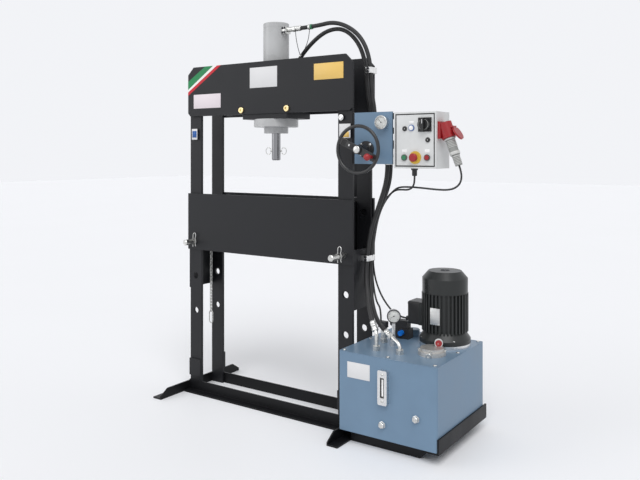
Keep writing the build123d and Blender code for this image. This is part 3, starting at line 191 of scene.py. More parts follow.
def settle(piece):
    """Puts a piece's place, turn and size into its mesh."""
    alone(piece)
    bpy.ops.object.transform_apply(location=True, rotation=True, scale=True)


def put(piece, place, way):
    """Turns a piece that was made along Z to another way and moves it to its place."""
    piece.rotation_euler = Vector(way).to_track_quat("Z", "Y").to_euler()
    piece.location = place
    settle(piece)
    return piece


def edit(piece):
    """Opens a piece in edit mode with everything selected."""
    alone(piece)
    bpy.ops.object.mode_set(mode="EDIT")
    bpy.ops.mesh.select_all(action="SELECT")


def close(piece, name):
    """Turns the faces outward and leaves edit mode."""
    bpy.ops.mesh.select_all(action="SELECT")
    bpy.ops.mesh.normals_make_consistent(inside=False)
    bpy.ops.object.mode_set(mode="OBJECT")
    piece.name = name
    return piece


def slab(name, low_corner, high_corner, bevel):
    """A block between two corners with softened edges."""
    clear_selection()
    bpy.ops.mesh.primitive_cube_add(size=1, location=(low_corner + high_corner) / 2)
    piece = bpy.context.object
    piece.scale = high_corner - low_corner
    settle(piece)
    edit(piece)
    bpy.ops.mesh.bevel(offset=bevel, segments=2, affect="EDGES")
    return close(piece, name)


def turned(name, rings, place, way, sides):
    """A turned piece: a disc drawn out through rings of radius and height."""
    clear_selection()
    bpy.ops.mesh.primitive_circle_add(vertices=sides, radius=rings[0][0], fill_type="NGON")
    piece = bpy.context.object
    edit(piece)
    for (radius, height), (next_radius, next_height) in zip(rings, rings[1:]):
        bpy.ops.mesh.extrude_region_move(TRANSFORM_OT_translate={"value": (0, 0, next_height - height)})
        share = next_radius / radius
        bpy.ops.transform.resize(value=(share, share, 1), center_override=(0, 0, next_height))
    return put(close(piece, name), place, way)


def spun(name, thick, radius, place, way, steps):
    """A ring of round wire."""
    clear_selection()
    bpy.ops.mesh.primitive_circle_add(vertices=10, radius=thick, location=(radius, 0, 0),
                                      rotation=(math.pi / 2, 0, 0))
    piece = bpy.context.object
    settle(piece)
    edit(piece)
    bpy.ops.mesh.spin(steps=steps, angle=math.tau, center=(0, 0, 0), axis=UP)
    bpy.ops.mesh.select_all(action="SELECT")
    bpy.ops.mesh.remove_doubles(threshold=0.00001)
    return put(close(piece, name), place, way)


def curve(name, points, radius, roundness, steps):
    """A round line on one smooth curve through points."""
    line = bpy.data.curves.new(name, "CURVE")
    line.dimensions = "3D"
    line.bevel_depth = radius
    line.bevel_resolution = roundness
    line.resolution_u = steps
    line.use_fill_caps = True
    spline = line.splines.new("NURBS")
    spline.points.add(len(points) - 1)
    for knot, point in zip(spline.points, points):
        knot.co = (*point, 1)
    spline.order_u = 3
    spline.use_endpoint_u = True
    piece = bpy.data.objects.new(name, line)
    bpy.context.scene.collection.objects.link(piece)
    return piece


def wire(name, points, radius):
    """A bent round wire through points."""
    clear_selection()
    alone(curve(name, points, radius, 3, 6))
    bpy.ops.object.convert(target="MESH")
    piece = bpy.context.object
    edit(piece)
    return close(piece, name)


def cut_sheet(name, outline, face, thick, rim=None):
    """A thin sheet cut to an outline on an upright face, or only a rim of it."""
    clear_selection()
    bpy.ops.mesh.primitive_circle_add(vertices=len(outline), radius=1, fill_type="NGON")
    piece = bpy.context.object
    for vertex, corner in zip(piece.data.vertices, outline):
        vertex.co = (corner[0], face, corner[2])
    edit(piece)
    if rim:
        bpy.ops.mesh.inset(thickness=rim)
        bpy.ops.mesh.delete(type="FACE")
        bpy.ops.mesh.select_all(action="SELECT")
    bpy.ops.mesh.extrude_region_move(TRANSFORM_OT_translate={"value": (0, -thick, 0)})
    return close(piece, name)


def joined(pieces, name):
    """Several pieces as one."""
    alone(pieces[0])
    for piece in pieces[1:]:
        piece.select_set(True)
    bpy.ops.object.join()
    pieces[0].name = name
    return pieces[0]


def copy_piece(source, name, move):
    """Another piece of the same shape, with its own mesh, moved."""
    piece = bpy.data.objects.new(name, source.data.copy())
    bpy.context.scene.collection.objects.link(piece)
    piece.location = move
    settle(piece)
    return piece


def turn_about(piece, angle, centre):
    """Turns a piece about a line along Y through a point."""
    shift = Matrix.Translation(Vector(centre))
    piece.matrix_world = shift @ Matrix.Rotation(angle, 4, "Y") @ shift.inverted() @ piece.matrix_world
    settle(piece)


# The slot that a finish belongs to, unless a piece names another
SLOTS = {finish_name: slot for slot, finish_names in {
    "steel": ("zinc", "yellow_zinc", "white_zinc", "black_steel"),
    "aluminium": ("white_plate", "yellow_plate", "pale_plate", "blue_plate", "brushed_plate", "dial_white",
                  "glass", "oil", "lamp_white"),
    "black_plastic": ("black_plastic", "dial_black", "seal_rubber", "wheel_grip"),
    "grey_plastic": ("pale_plastic",),
    "red_plastic": ("red_plastic",),
    "green_plastic": ("green_plastic",),
    "frame_paint": ("black_paint", "stripe_green", "stripe_white", "stripe_red"),
    "blue_paint": ("blue_paint",),
    "valve_metal": ("black_iron",),
}.items() for finish_name in finish_names}


def finish(piece, material, body="frame", slot=None, angle=35):
    """Smooths a piece, gives it a material and makes it ride on a body."""
    alone(piece)
    bpy.ops.object.shade_smooth_by_angle(angle=math.radians(angle))
    piece.data.materials.clear()
    piece.data.materials.append(MATERIALS[material])
    slot = slot or SLOTS[material]
    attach(piece, body)
    return piece


def turned_part(name, rings, place, way, sides, material, **rest):
    """A turned piece with its finish."""
    return finish(turned(name, rings, place, way, sides), material, **rest)


def slab_part(name, low_corner, high_corner, bevel, material, **rest):
    """A block with its finish."""
    return finish(slab(name, low_corner, high_corner, bevel), material, **rest)


def bolt_circle(name, axis, ring, count, start, height, rings, sides, material="zinc", way=UP, angle=25):
    """A circle of screws round an upright axis, in millimetres but for the height."""
    for number in range(count):
        turn = math.radians(start + 360 * number / count)
        place = spot(axis[0] + ring * math.cos(turn), axis[1] + ring * math.sin(turn), 0, None, height)
        turned_part(f"{name}_{number}", rings, place, way, sides, material, angle=angle)


# Materials
NOISE_LOW, NOISE_HIGH = 0.3, 0.7  # the part of a noise that counts


def shader(name):
    """A new node material, its tree and its main shader."""
    material = bpy.data.materials.new(name)
    material.use_nodes = True
    return material, material.node_tree, material.node_tree.nodes["Principled BSDF"]


def added(tree, kind, values=None, **settings):
    """A new node with the values of its inputs and its settings."""
    node = tree.nodes.new(kind)
    for name, value in settings.items():
        setattr(node, name, value)
    for name, value in (values or {}).items():
        node.inputs[name].default_value = value
    return node


def mapped(tree, source, scale, texture):
    """Lays a texture on a piece's own coordinates."""
    place = added(tree, "ShaderNodeTexCoord")
    mapping = added(tree, "ShaderNodeMapping", {"Scale": scale})
    tree.links.new(place.outputs[source], mapping.inputs["Vector"])
    tree.links.new(mapping.outputs["Vector"], texture.inputs["Vector"])
    return texture.outputs["Fac"]


def object_noise(tree, scale, detail, stretch=(1, 1, 1)):
    """A noise pattern on Object coordinates."""
    return mapped(tree, "Object", stretch, added(tree, "ShaderNodeTexNoise", {"Scale": scale, "Detail": detail}))


def tint(colour, factor):
    """A colour made lighter or darker, with alpha."""
    return (*[min(1.0, channel * factor) for channel in colour], 1.0)


def mottle(tree, main, colour, noise, amount, rough, rough_span):
    """Lets a noise vary a shader's colour and roughness."""
    ramp = added(tree, "ShaderNodeValToRGB")
    stops = ramp.color_ramp.elements
    stops[0].color, stops[1].color = tint(colour, 1 - amount), tint(colour, 1 + amount)
    stops[0].position, stops[1].position = NOISE_LOW, NOISE_HIGH
    tree.links.new(noise, ramp.inputs["Fac"])
    tree.links.new(ramp.outputs["Color"], main.inputs["Base Color"])
    span = added(tree, "ShaderNodeMapRange", {"From Min": NOISE_LOW, "From Max": NOISE_HIGH,
                                              "To Min": rough - rough_span, "To Max": rough + rough_span})
    tree.links.new(noise, span.inputs["Value"])
    tree.links.new(span.outputs["Result"], main.inputs["Roughness"])


def bumped(tree, main, height, strength, distance, edge=0.0):
    """Adds fine relief from a texture, and softly broken edges."""
    bump = added(tree, "ShaderNodeBump", {"Strength": strength, "Distance": distance})
    if edge:
        rounded = added(tree, "ShaderNodeBevel", {"Radius": edge}, samples=4)
        tree.links.new(rounded.outputs["Normal"], bump.inputs["Normal"])
    tree.links.new(height, bump.inputs["Height"])
    tree.links.new(bump.outputs["Normal"], main.inputs["Normal"])


def paint(name, colour, rough, relief=0.10, amount=0.10, peel=420, specular=0.4):
    """Sprayed paint with orange peel and slight cloudiness."""
    material, tree, main = shader(name)
    main.inputs["Specular IOR Level"].default_value = specular
    mottle(tree, main, colour, object_noise(tree, 6, 6), amount, rough, 0.06)
    bumped(tree, main, object_noise(tree, peel, 3), relief, 0.0006, bpy.context.scene.press_sizes.edge)
    return material


def plastic(name, colour, rough, relief=0.08):
    """Moulded plastic with a fine grain."""
    material, tree, main = shader(name)
    mottle(tree, main, colour, object_noise(tree, 25, 4), 0.08, rough, 0.05)
    bumped(tree, main, object_noise(tree, 900, 2), relief, 0.0003)
    return material


def metal(name, colour, rough, along, grain, amount, relief):
    """Bare metal with fine tool marks along Z."""
    material, tree, main = shader(name)
    main.inputs["Metallic"].default_value = 1.0
    marks = object_noise(tree, grain, 6, (1, 1, along))
    mottle(tree, main, colour, marks, amount, rough, 0.07)
    bumped(tree, main, marks, relief, 0.0003)
    return material


def clear_glass(name, colour, rough):
    """Glass that light passes through, with faint smears."""
    material, tree, main = shader(name)
    main.inputs["Transmission Weight"].default_value = 1.0
    main.inputs["IOR"].default_value = 1.3
    mottle(tree, main, colour, object_noise(tree, 60, 3), 0.02, rough, rough / 2)
    return material


def zoned(name, colour, grounds, face):
    """Box paint, with other colours on the parts that stand proud of a face inside given areas."""
    material = paint(name, colour, *BOX_PAINT)
    tree = material.node_tree
    link, main = tree.links.new, tree.nodes["Principled BSDF"]
    place = added(tree, "ShaderNodeTexCoord")
    split = added(tree, "ShaderNodeSeparateXYZ")
    link(place.outputs["Object"], split.inputs["Vector"])
    proud = added(tree, "ShaderNodeMath", {1: face - 0.0002}, operation="LESS_THAN")
    link(split.outputs["Y"], proud.inputs[0])
    colour_now = main.inputs["Base Color"].links[0].from_socket
    for x, z, half, ground in grounds:
        mask = proud.outputs[0]
        for output, centre in (("X", spot(x, 0, 0).x), ("Z", z * MM)):
            near = added(tree, "ShaderNodeMath", {1: centre, 2: half}, operation="COMPARE")
            link(split.outputs[output], near.inputs[0])
            both = added(tree, "ShaderNodeMath", operation="MULTIPLY")
            link(mask, both.inputs[0])
            link(near.outputs[0], both.inputs[1])
            mask = both.outputs[0]
        mix = added(tree, "ShaderNodeMix", data_type="RGBA")
        link(mask, mix.inputs["Factor"])
        link(colour_now, mix.inputs[6])
        mix.inputs[7].default_value = (*ground, 1)
        colour_now = mix.outputs[2]
    link(colour_now, main.inputs["Base Color"])
    return material


def hose_cover(name, colour):
    """Rubber with the faint spiral of the wrapping it was cured in."""
    material, tree, main = shader(name)
    main.inputs["Specular IOR Level"].default_value = 0.35
    mottle(tree, main, colour, object_noise(tree, 30, 5), 0.25, 0.48, 0.08)
    wave = added(tree, "ShaderNodeTexWave", {"Scale": 1.0, "Distortion": 0.4})
    bumped(tree, main, mapped(tree, "UV", (40, 1, 1), wave), 0.25, 0.0008)
    return material


MATERIALS = {}
BOX_PAINT = (0.5, 0.2, 0.10, 700)  # roughness, relief, cloudiness, peel
BLACK, DARK = (0.012, 0.012, 0.013), (0.10, 0.10, 0.10)
# X, Z in millimetres, half width in metres, colour: switch plate and the button bezels
DOOR_GROUNDS = [(946, 1500, 0.0335, BLACK), (896, 1347, 0.031, (0.70, 0.46, 0.06)),
                (839, 1347, 0.016, DARK), (957, 1347, 0.016, DARK)]


def make_materials():
    """Every finish of the press, by name."""
    own = bpy.context.scene.press_colours
    # Painted shade: the frame's black at half strength, a shaded copy for the feet, base beams and tank supports by
    # the floor
    floor_black = [share * 0.5 for share in own.frame_black]
    kinds = {
        # colour, roughness, relief, cloudiness, peel, specular
        paint: {
            "black_paint": (own.frame_black, 0.45, 0.10, 0.10, 420, 0.3),
            # painted shade: darkened copy of the frame paint for the parts by the floor
            "floor_black": (floor_black, 0.45, 0.10, 0.10, 420, 0.22),
            "blue_paint": (own.tank_blue, 0.36, 0.03, 0.05),
            "cylinder_paint": (own.cylinder_grey, 0.26, 0.10, 0.10, 420, 0.55),
            "box_paint": (own.box_grey, *BOX_PAINT),
            "motor_paint": (own.motor_grey, 0.32, 0.10, 0.10, 420, 0.35),
            "black_iron": ((0.02, 0.02, 0.022), 0.5, 0.35, 0.10, 250),
            "white_plate": ((0.70, 0.70, 0.71), 0.35, 0.03, 0.03),
            "yellow_plate": ((0.78, 0.52, 0.15), 0.35, 0.03, 0.05),
            "pale_plate": ((0.74, 0.67, 0.71), 0.35, 0.03, 0.03),
            "blue_plate": ((0.02, 0.10, 0.34), 0.35, 0.03, 0.05),
            "stripe_green": ((0.002, 0.20, 0.06), 0.4, 0.03),
            "stripe_white": ((0.82, 0.82, 0.80), 0.4, 0.03),
            "stripe_red": ((0.52, 0.006, 0.02), 0.4, 0.03),
            "dial_white": ((0.88, 0.87, 0.84), 0.5, 0.02, 0.02),
        },
        # colour, roughness, stretch of the marks, grain, cloudiness, relief
        metal: {
            "chrome": ((0.29, 0.29, 0.30), 0.09, 60, 40, 0.04, 0.02),
            "zinc": ((0.62, 0.62, 0.60), 0.30, 1, 90, 0.15, 0.08),
            "turned_alloy": ((0.72, 0.72, 0.72), 0.30, 30, 50, 0.10, 0.08),
            "cast_alloy": ((0.56, 0.55, 0.53), 0.5, 1, 160, 0.12, 0.2),
            "yellow_zinc": ((0.80, 0.64, 0.34), 0.30, 1, 90, 0.2, 0.06),
            "white_zinc": ((0.82, 0.82, 0.81), 0.34, 1, 90, 0.1, 0.06),
            "black_steel": ((0.06, 0.06, 0.065), 0.36, 1, 90, 0.2, 0.06),
            "brushed_plate": ((0.60, 0.60, 0.59), 0.36, 60, 30, 0.12, 0.05),
        },
        # colour, roughness, relief
        plastic: {
            "black_plastic": (BLACK, 0.38),
            "red_plastic": (own.socket_red, 0.32),
            "green_plastic": (own.start_green, 0.3),
            "blue_plastic": (own.knob_blue, 0.3),
            "grey_plastic": ((0.27, 0.275, 0.265), 0.45),
            "pale_plastic": ((0.55, 0.555, 0.54), 0.42),
            "wheel_grip": ((0.02, 0.02, 0.021), 0.3),
            "dial_black": ((0.012, 0.012, 0.012), 0.5),
            "lamp_white": ((0.90, 0.90, 0.90), 0.2, 0.03),
            "seal_rubber": ((0.02, 0.021, 0.022), 0.55),
            "oil": ((0.022, 0.022, 0.02), 0.2, 0.02),
            "cable_sheath": ((0.018, 0.018, 0.019), 0.42),
        },
        zoned: {"door_paint": (own.box_grey, DOOR_GROUNDS, DOOR_FACE)},
        clear_glass: {"glass": ((0.96, 0.97, 0.97), 0.03)},
        hose_cover: {"hose_rubber": ((0.022, 0.022, 0.023),)},
    }
    for maker, rows in kinds.items():
        for name, values in rows.items():
            MATERIALS[name] = maker(name, *values)


NODE_FINISHES = {
    "black_paint": ["head_plate_front", "head_plate_rear", "uprights_left", "uprights_right", "tie_plates",
                    "bed_plate_front", "bed_plate_rear", "bed_spacers", "saddle", "panel_straps"],
    # Painted shade: the parts by the floor take the darkened copy of the frame's black
    "floor_black": ["foot_left", "foot_right", "base_beams", "tank_supports"],
    "blue_paint": ["valve_panel", "tank_shell", "tank_lid", "filler_cap"],
    "cylinder_paint": ["barrel", "cylinder_cap", "flange", "gland"],
    "chrome": ["rod", "nose"],
    "zinc": ["piston", "bed_pin_left", "bed_pin_right", "chain", "hose_fittings", "box_gear"],
    "turned_alloy": ["level_gauge", "bell_ring", "gear_pump", "gauges"],
    "cast_alloy": ["return_filter"],
    "black_iron": ["steering_valve", "unit_valves"],
    "black_plastic": ["main_switch", "terminal_box"],
    "wheel_grip": ["handwheel"],
    "red_plastic": ["spinner", "stop_button", "emergency_stop", "socket_body", "socket_lid"],
    "green_plastic": ["start_button"],
    "blue_plastic": ["relief_knob"],
    "grey_plastic": ["power_plug"],
    "box_paint": ["control_box"],
    "door_paint": ["door"],
    "motor_paint": ["motor_housing", "fan_cowl", "rotor"],
}


class PRESS_OT_finishes(bpy.types.Operator):
    """Give every solid of the press its finish"""
    bl_idname = "press.finishes"
    bl_label = "Finishes"

    def execute(self, context):
        make_materials()
        for name, nodes in NODE_FINISHES.items():
            for node in nodes:
                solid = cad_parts[node]
                solid.data.materials.clear()
                solid.data.materials.append(MATERIALS[name])
        return {"FINISHED"}


def cord(node, width, material):
    """A hose or cable along its route."""
    points = route(node)
    piece = curve(node + "_piece", points, width / 2, 5, 10)
    piece.data.materials.append(material)
    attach(piece, "frame")
    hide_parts(node)
    return piece, points[0]


class PRESS_OT_cords(bpy.types.Operator):
    """Lay the hoses and cables"""
    bl_idname = "press.cords"
    bl_label = "Hoses and cables"

    def execute(self, context):
        sizes = context.scene.press_sizes
        for node in HOSES:
            piece, start = cord(node, sizes.hose, MATERIALS["hose_rubber"])
        piece, start = cord("cable_control", sizes.cable, MATERIALS["cable_sheath"])
        piece, start = cord("cable_motor", sizes.cable, MATERIALS["cable_sheath"])
        return {"FINISHED"}


# Hose ends: rings of radius and height, and how far each piece reaches past the hose
FERRULE = [(0.0125, 0), (0.0145, 0.002), (0.0145, 0.010), (0.0136, 0.0115), (0.0145, 0.013), (0.0145, 0.022),
           (0.0136, 0.0235), (0.0145, 0.025), (0.0145, 0.036), (0.0122, 0.040)]
NUT = [(0.0140, 0), (0.0160, 0.0015), (0.0160, 0.0125), (0.0140, 0.0140)]
FERRULE_PAST, NUT_PAST = 0.001, 0.013


class PRESS_OT_hose_ends(bpy.types.Operator):
    """Crimp a ferrule and a nut on both ends of each hose"""
    bl_idname = "press.hose_ends"
    bl_label = "Hose ends"

    def execute(self, context):
        for node in HOSES:
            points = [Vector(point) for point in route(node)]
            for side, end, inner in (("start", points[0], points[1]), ("end", points[-1], points[-2])):
                way = (inner - end).normalized()
                turned_part(f"{node}_{side}_ferrule", FERRULE, end - way * FERRULE_PAST, way, 24, "zinc")
                turned_part(f"{node}_{side}_nut", NUT, end - way * NUT_PAST, way, 6, "zinc")
        return {"FINISHED"}


# Bare plates: X and Z from and to, the face below, whether another plate lies between, finish
PLATES = [
    ("head_plate_white", -96, 91, 1721, 1831, HEAD_FACE, False, "white_plate"),
    ("head_plate_yellow", 328, 506, 1741, 1824, HEAD_FACE, False, "yellow_plate"),
    ("head_plate_pale", -515, -308, 1624, 1704, HEAD_FACE, False, "pale_plate"),
    ("bar_plate_left", -532, -489, 1446, 1508, BAR_FACE, False, "white_plate"),
    ("bar_plate_left_field", -527, -494, 1458, 1496, BAR_FACE, True, "blue_plate"),
    ("bar_plate_right", 480, 546, 1443, 1514, BAR_FACE, False, "white_plate"),
    ("bar_plate_right_field", 500, 538, 1447, 1474, BAR_FACE, True, "yellow_plate"),
    ("tank_plate", 620, 742, 315, 389, TANK_FACE, False, "white_plate"),
]
# Dark strips of painted shade between two corners, filling the shaded gaps beside the right bars, and the colour
# stripe's outlines in X and Z
SHADE_STRIPS = [
    ("panel_gap_shade", (552, -95, 1316), (562, -84, 1566)),
    ("upright_gap_shade", (437, 85, 1138), (468, 91, 1578)),
]
STRIPES = {
    "stripe_green": [(-560, 1734.7), (-560, 1781), (-427, 1862), (-366, 1862)],
    "stripe_white": [(-560, 1720.2), (-560, 1734.7), (-366, 1862), (-336, 1862)],
    "stripe_red": [(-560, 1699.9), (-560, 1720.2), (-336, 1862), (-305, 1862)],
}


class PRESS_OT_plates(bpy.types.Operator):
    """Fix the bare plates and the colour stripe to the frame"""
    bl_idname = "press.plates"
    bl_label = "Plates and stripe"

    def execute(self, context):
        thick = context.scene.press_sizes.plate
        for name, x0, x1, z0, z1, face, on_plate, material in PLATES:
            back, deep = (face - thick, thick / 2) if on_plate else (face, thick)
            slab_part(name, spot(x0, 0, z0, back - deep), spot(x1, 0, z1, back), deep / 3, material)
        # Painted shade: black sheets that stand in for the shade in the gaps by the right bars
        for name, low_corner, high_corner in SHADE_STRIPS:
            slab_part(name, spot(*low_corner), spot(*high_corner), 0.001, "black_paint")
        for name, outline in STRIPES.items():
            finish(cut_sheet(name, [spot(x, 0, z) for x, z in outline], HEAD_FACE, thick / 2), name)
        return {"FINISHED"}


# Screws of the frame and the cylinder
SOCKET_SCREW = [(0.0165, 0), (0.0165, 0.0075), (0.0150, 0.0092), (0.0072, 0.0092), (0.0068, 0.0040)]
BUTTON_SCREW = [(0.0150, 0), (0.0150, 0.0015), (0.0120, 0.0022), (0.0120, 0.0060), (0.0090, 0.0085),
                (0.0050, 0.0085), (0.0048, 0.0050)]
CAP_SCREW = [(0.0105, 0), (0.0105, 0.0070), (0.0096, 0.0080), (0.0056, 0.0080), (0.0054, 0.0040)]
FLANGE_RING, FLANGE_POCKET = 98, 0.009


class PRESS_OT_screws(bpy.types.Operator):
    """Set the screws of the frame and the cylinder's flange"""
    bl_idname = "press.screws"
    bl_label = "Screws"

    def execute(self, context):
        for side, x in (("left", -155), ("right", 155)):
            turned_part(f"head_screw_{side}", SOCKET_SCREW, spot(x, 0, 1603, HEAD_FACE), FRONT, 28, "yellow_zinc")
        turned_part("bar_screw_right", BUTTON_SCREW, spot(490, 0, 1546, BAR_FACE), FRONT, 28, "white_zinc")
        bolt_circle("flange_screw", (0, 0), FLANGE_RING, 8, 0, low("flange").z + FLANGE_POCKET, CAP_SCREW, 20,
                    "black_steel", DOWN, 35)
        return {"FINISHED"}


# Clips of the bed pins, in X and Z from the pin's hole, and rings of the nose
CLIP_SHAPE = [(0, -0.030), (0, 0), (0, 0.030), (0.002, 0.046), (0.013, 0.052), (0.021, 0.044), (0.020, 0.030),
              (0.016, 0.020), (0.0195, 0.008), (0.0205, -0.004), (0.0165, -0.016), (0.021, -0.026)]
CLIP_FROM_TIP = 0.068
NOSE_STUB = [(0.0065, 0), (0.0065, 0.004), (0.0045, 0.005), (0.0045, 0.009)]
NOSE_WAY = Vector((0.8268, 0.5625, 0))
STUB_HEIGHT, STUB_OUT = 0.051, 0.0236
RING_OUT, RING_HALF, RING_TALL = 0.0425, 0.0135, 0.019
RING_OPEN, RING_STEPS = 30, 16


class PRESS_OT_clips(bpy.types.Operator):
    """Put a spring clip through each bed pin and a ring on each side of the nose"""
    bl_idname = "press.clips"
    bl_label = "Pin clips and rings"

    def execute(self, context):
        radius = context.scene.press_sizes.wire / 2
        for side in ("left", "right"):
            hole = middle(f"bed_pin_{side}")
            hole.y = low(f"bed_pin_{side}").y + CLIP_FROM_TIP
            clip = wire(f"pin_clip_{side}", [hole + Vector((x, 0, z)) for x, z in CLIP_SHAPE], radius)
            finish(clip, "zinc", f"pin_{side}")
        centre = Vector((AXIS_X, 0, low("nose").z + STUB_HEIGHT))
        for side, way in (("left", -NOSE_WAY), ("right", NOSE_WAY)):
            turned_part(f"nose_stub_{side}", NOSE_STUB, centre + way * STUB_OUT, way, 20, "zinc", body="ram")
            finish(wire(f"nose_ring_{side}", self.ring(centre, way), radius), "zinc", "ram")
        return {"FINISHED"}

    def ring(self, centre, way):
        """The points of a split ring, open towards the nose."""
        points = []
        for count in range(RING_STEPS + 1):
            angle = math.radians(RING_OPEN + (360 - 2 * RING_OPEN) * count / RING_STEPS)
            points.append(centre + way * RING_OUT - way * RING_HALF * math.cos(angle)
                          + Vector((0, 0, RING_TALL * math.sin(angle))))
        return points


# Dials of the gauges, modelled about the origin: rings of each piece and its place along Y
DIAL_FACE = [(0.0288, 0), (0.0288, 0.0006), (0.0284, 0.0008)]
DIAL_BEZEL = [(0.0330, 0), (0.0336, 0.001), (0.0336, 0.006), (0.0322, 0.0075), (0.0292, 0.0075),
              (0.0288, 0.0042)]
DIAL_BOSS = [(0.0032, 0), (0.0032, 0.0012), (0.0022, 0.0018)]
DIAL_GLASS = [(0.0286, 0), (0.0286, 0.0008), (0.0200, 0.0016), (0.0080, 0.0021)]
FACE_Y, BEZEL_Y, BOSS_Y, GLASS_Y = 0.0038, 0.005, 0.0024, -0.0004
NEEDLE = (Vector((-0.0007, 0.0018, -0.006)), Vector((0.0007, 0.0023, 0.022)))
MARKS, LONG_EVERY, MARK_START, MARK_STEP = 21, 5, -135, 13.5
MARK_LONG, MARK_SHORT = (0.0005, 0.0205), (0.0003, 0.0232)  # half width and inner end
MARK_OUTER, MARK_BACK, MARK_FRONT = 0.0262, 0.0031, 0.0026
PANEL_GAUGE_OUT, UNIT_GAUGE_OUT, UNIT_GAUGE_TURN = 0.030, 0.015, 30


class PRESS_OT_gauges(bpy.types.Operator):
    """Fit dial, scale, needle and glass to both gauges"""
    bl_idname = "press.gauges"
    bl_label = "Gauge dials"

    def execute(self, context):
        panel = Matrix.Translation(spot(726, 0, 1515, PANEL_FACE - PANEL_GAUGE_OUT))
        self.dial("panel_gauge", panel, -40, "zinc")
        unit = (Matrix.Translation(spot(752, -42, 579)) @ Matrix.Rotation(math.radians(UNIT_GAUGE_TURN), 4, "Z")
                @ Matrix.Translation((0, -UNIT_GAUGE_OUT, 0)))
        self.dial("unit_gauge", unit, -118, "black_steel")
        return {"FINISHED"}

    def dial(self, name, place, reading, rim):
        """Dial parts facing the front, then put in place."""
        face = turned(name + "_face", DIAL_FACE, (0, FACE_Y, 0), FRONT, 48)
        bezel = turned(name + "_bezel", DIAL_BEZEL, (0, BEZEL_Y, 0), FRONT, 48)
        self.open_front(bezel)
        marks = self.scale_marks(name)
        needle = slab(name + "_needle", *NEEDLE, 0.0002)
        turn_about(needle, math.radians(reading), (0, 0, 0))
        boss = turned(name + "_boss", DIAL_BOSS, (0, BOSS_Y, 0), FRONT, 20)
        glass = turned(name + "_glass", DIAL_GLASS, (0, GLASS_Y, 0), FRONT, 48)
        for piece, material in ((face, "dial_white"), (bezel, rim), (marks, "dial_black"), (needle, "dial_black"),
                                (boss, "dial_black"), (glass, "glass")):
            piece.matrix_world = place @ piece.matrix_world
            settle(piece)
            finish(piece, material)

    def open_front(self, bezel):
        """Takes away the bezel's end faces, so that the dial shows."""
        edit(bezel)
        bpy.ops.mesh.select_mode(type="FACE")
        bpy.ops.mesh.select_all(action="DESELECT")
        net = bmesh.from_edit_mesh(bezel.data)
        for side in net.faces:
            side.select = len(side.verts) > 4
        bmesh.update_edit_mesh(bezel.data)
        bpy.ops.mesh.delete(type="FACE")
        bpy.ops.object.mode_set(mode="OBJECT")

    def scale_marks(self, name):
        """Long and short marks round three quarters of the dial."""
        marks = []
        for count in range(MARKS):
            half, inner = MARK_SHORT if count % LONG_EVERY else MARK_LONG
            mark = slab(f"{name}_mark_{count}", Vector((-half, MARK_FRONT, inner)),
                        Vector((half, MARK_BACK, MARK_OUTER)), 0.0001)
            turn_about(mark, math.radians(MARK_START + MARK_STEP * count), (0, 0, 0))
            marks.append(mark)
        return joined(marks, name + "_marks")


# Controls on the electric box: tags with X, Z, width and height, locks with X and Z
TAGS = [("tag_start", 839, 1378, 24, 15), ("tag_stop", 957, 1378, 24, 15), ("tag_lamp", 876, 1512, 24, 12)]
LOCKS = [("lock_left", 841, 1483), ("lock_right", 960, 1429)]
LOCK = [(0.0120, 0), (0.0120, 0.002), (0.0105, 0.003), (0.0105, 0.006), (0.0085, 0.0072), (0.0045, 0.0072),
        (0.0042, 0.0040)]
LOCK_SLOT_W, LOCK_SLOT_H, LOCK_SLOT_FRONT, LOCK_SLOT_BACK = 1.2, 3.6, 0.0052, 0.0036
LAMP_AT = spot(876, 0, 1486, DOOR_FACE)
LAMP_RING = [(0.0150, 0), (0.0150, 0.003), (0.0135, 0.005), (0.0118, 0.005)]
LAMP_LENS = [(0.0116, 0), (0.0116, 0.006), (0.0100, 0.009), (0.0060, 0.0105)]
GLAND_AT = spot(856, -26, 1296)
GLAND_NUT = [(0.0165, 0), (0.0165, 0.009), (0.0150, 0.010)]
GLAND_DOME = [(0.0122, 0), (0.0122, 0.0352), (0.0105, 0.0372), (0.0060, 0.0380)]
SEAL_PAST, SEAL_THICK, SEAL_RIM = 0.0055, 0.0008, 0.0046
SWITCH_RING_WIRE, SWITCH_RING, SWITCH_RING_IN = 0.0012, 0.0245, 0.0155
SWITCH_LINE = (Vector((-0.0016, -0.0004, 0.004)), Vector((0.0016, 0.0004, 0.024)))


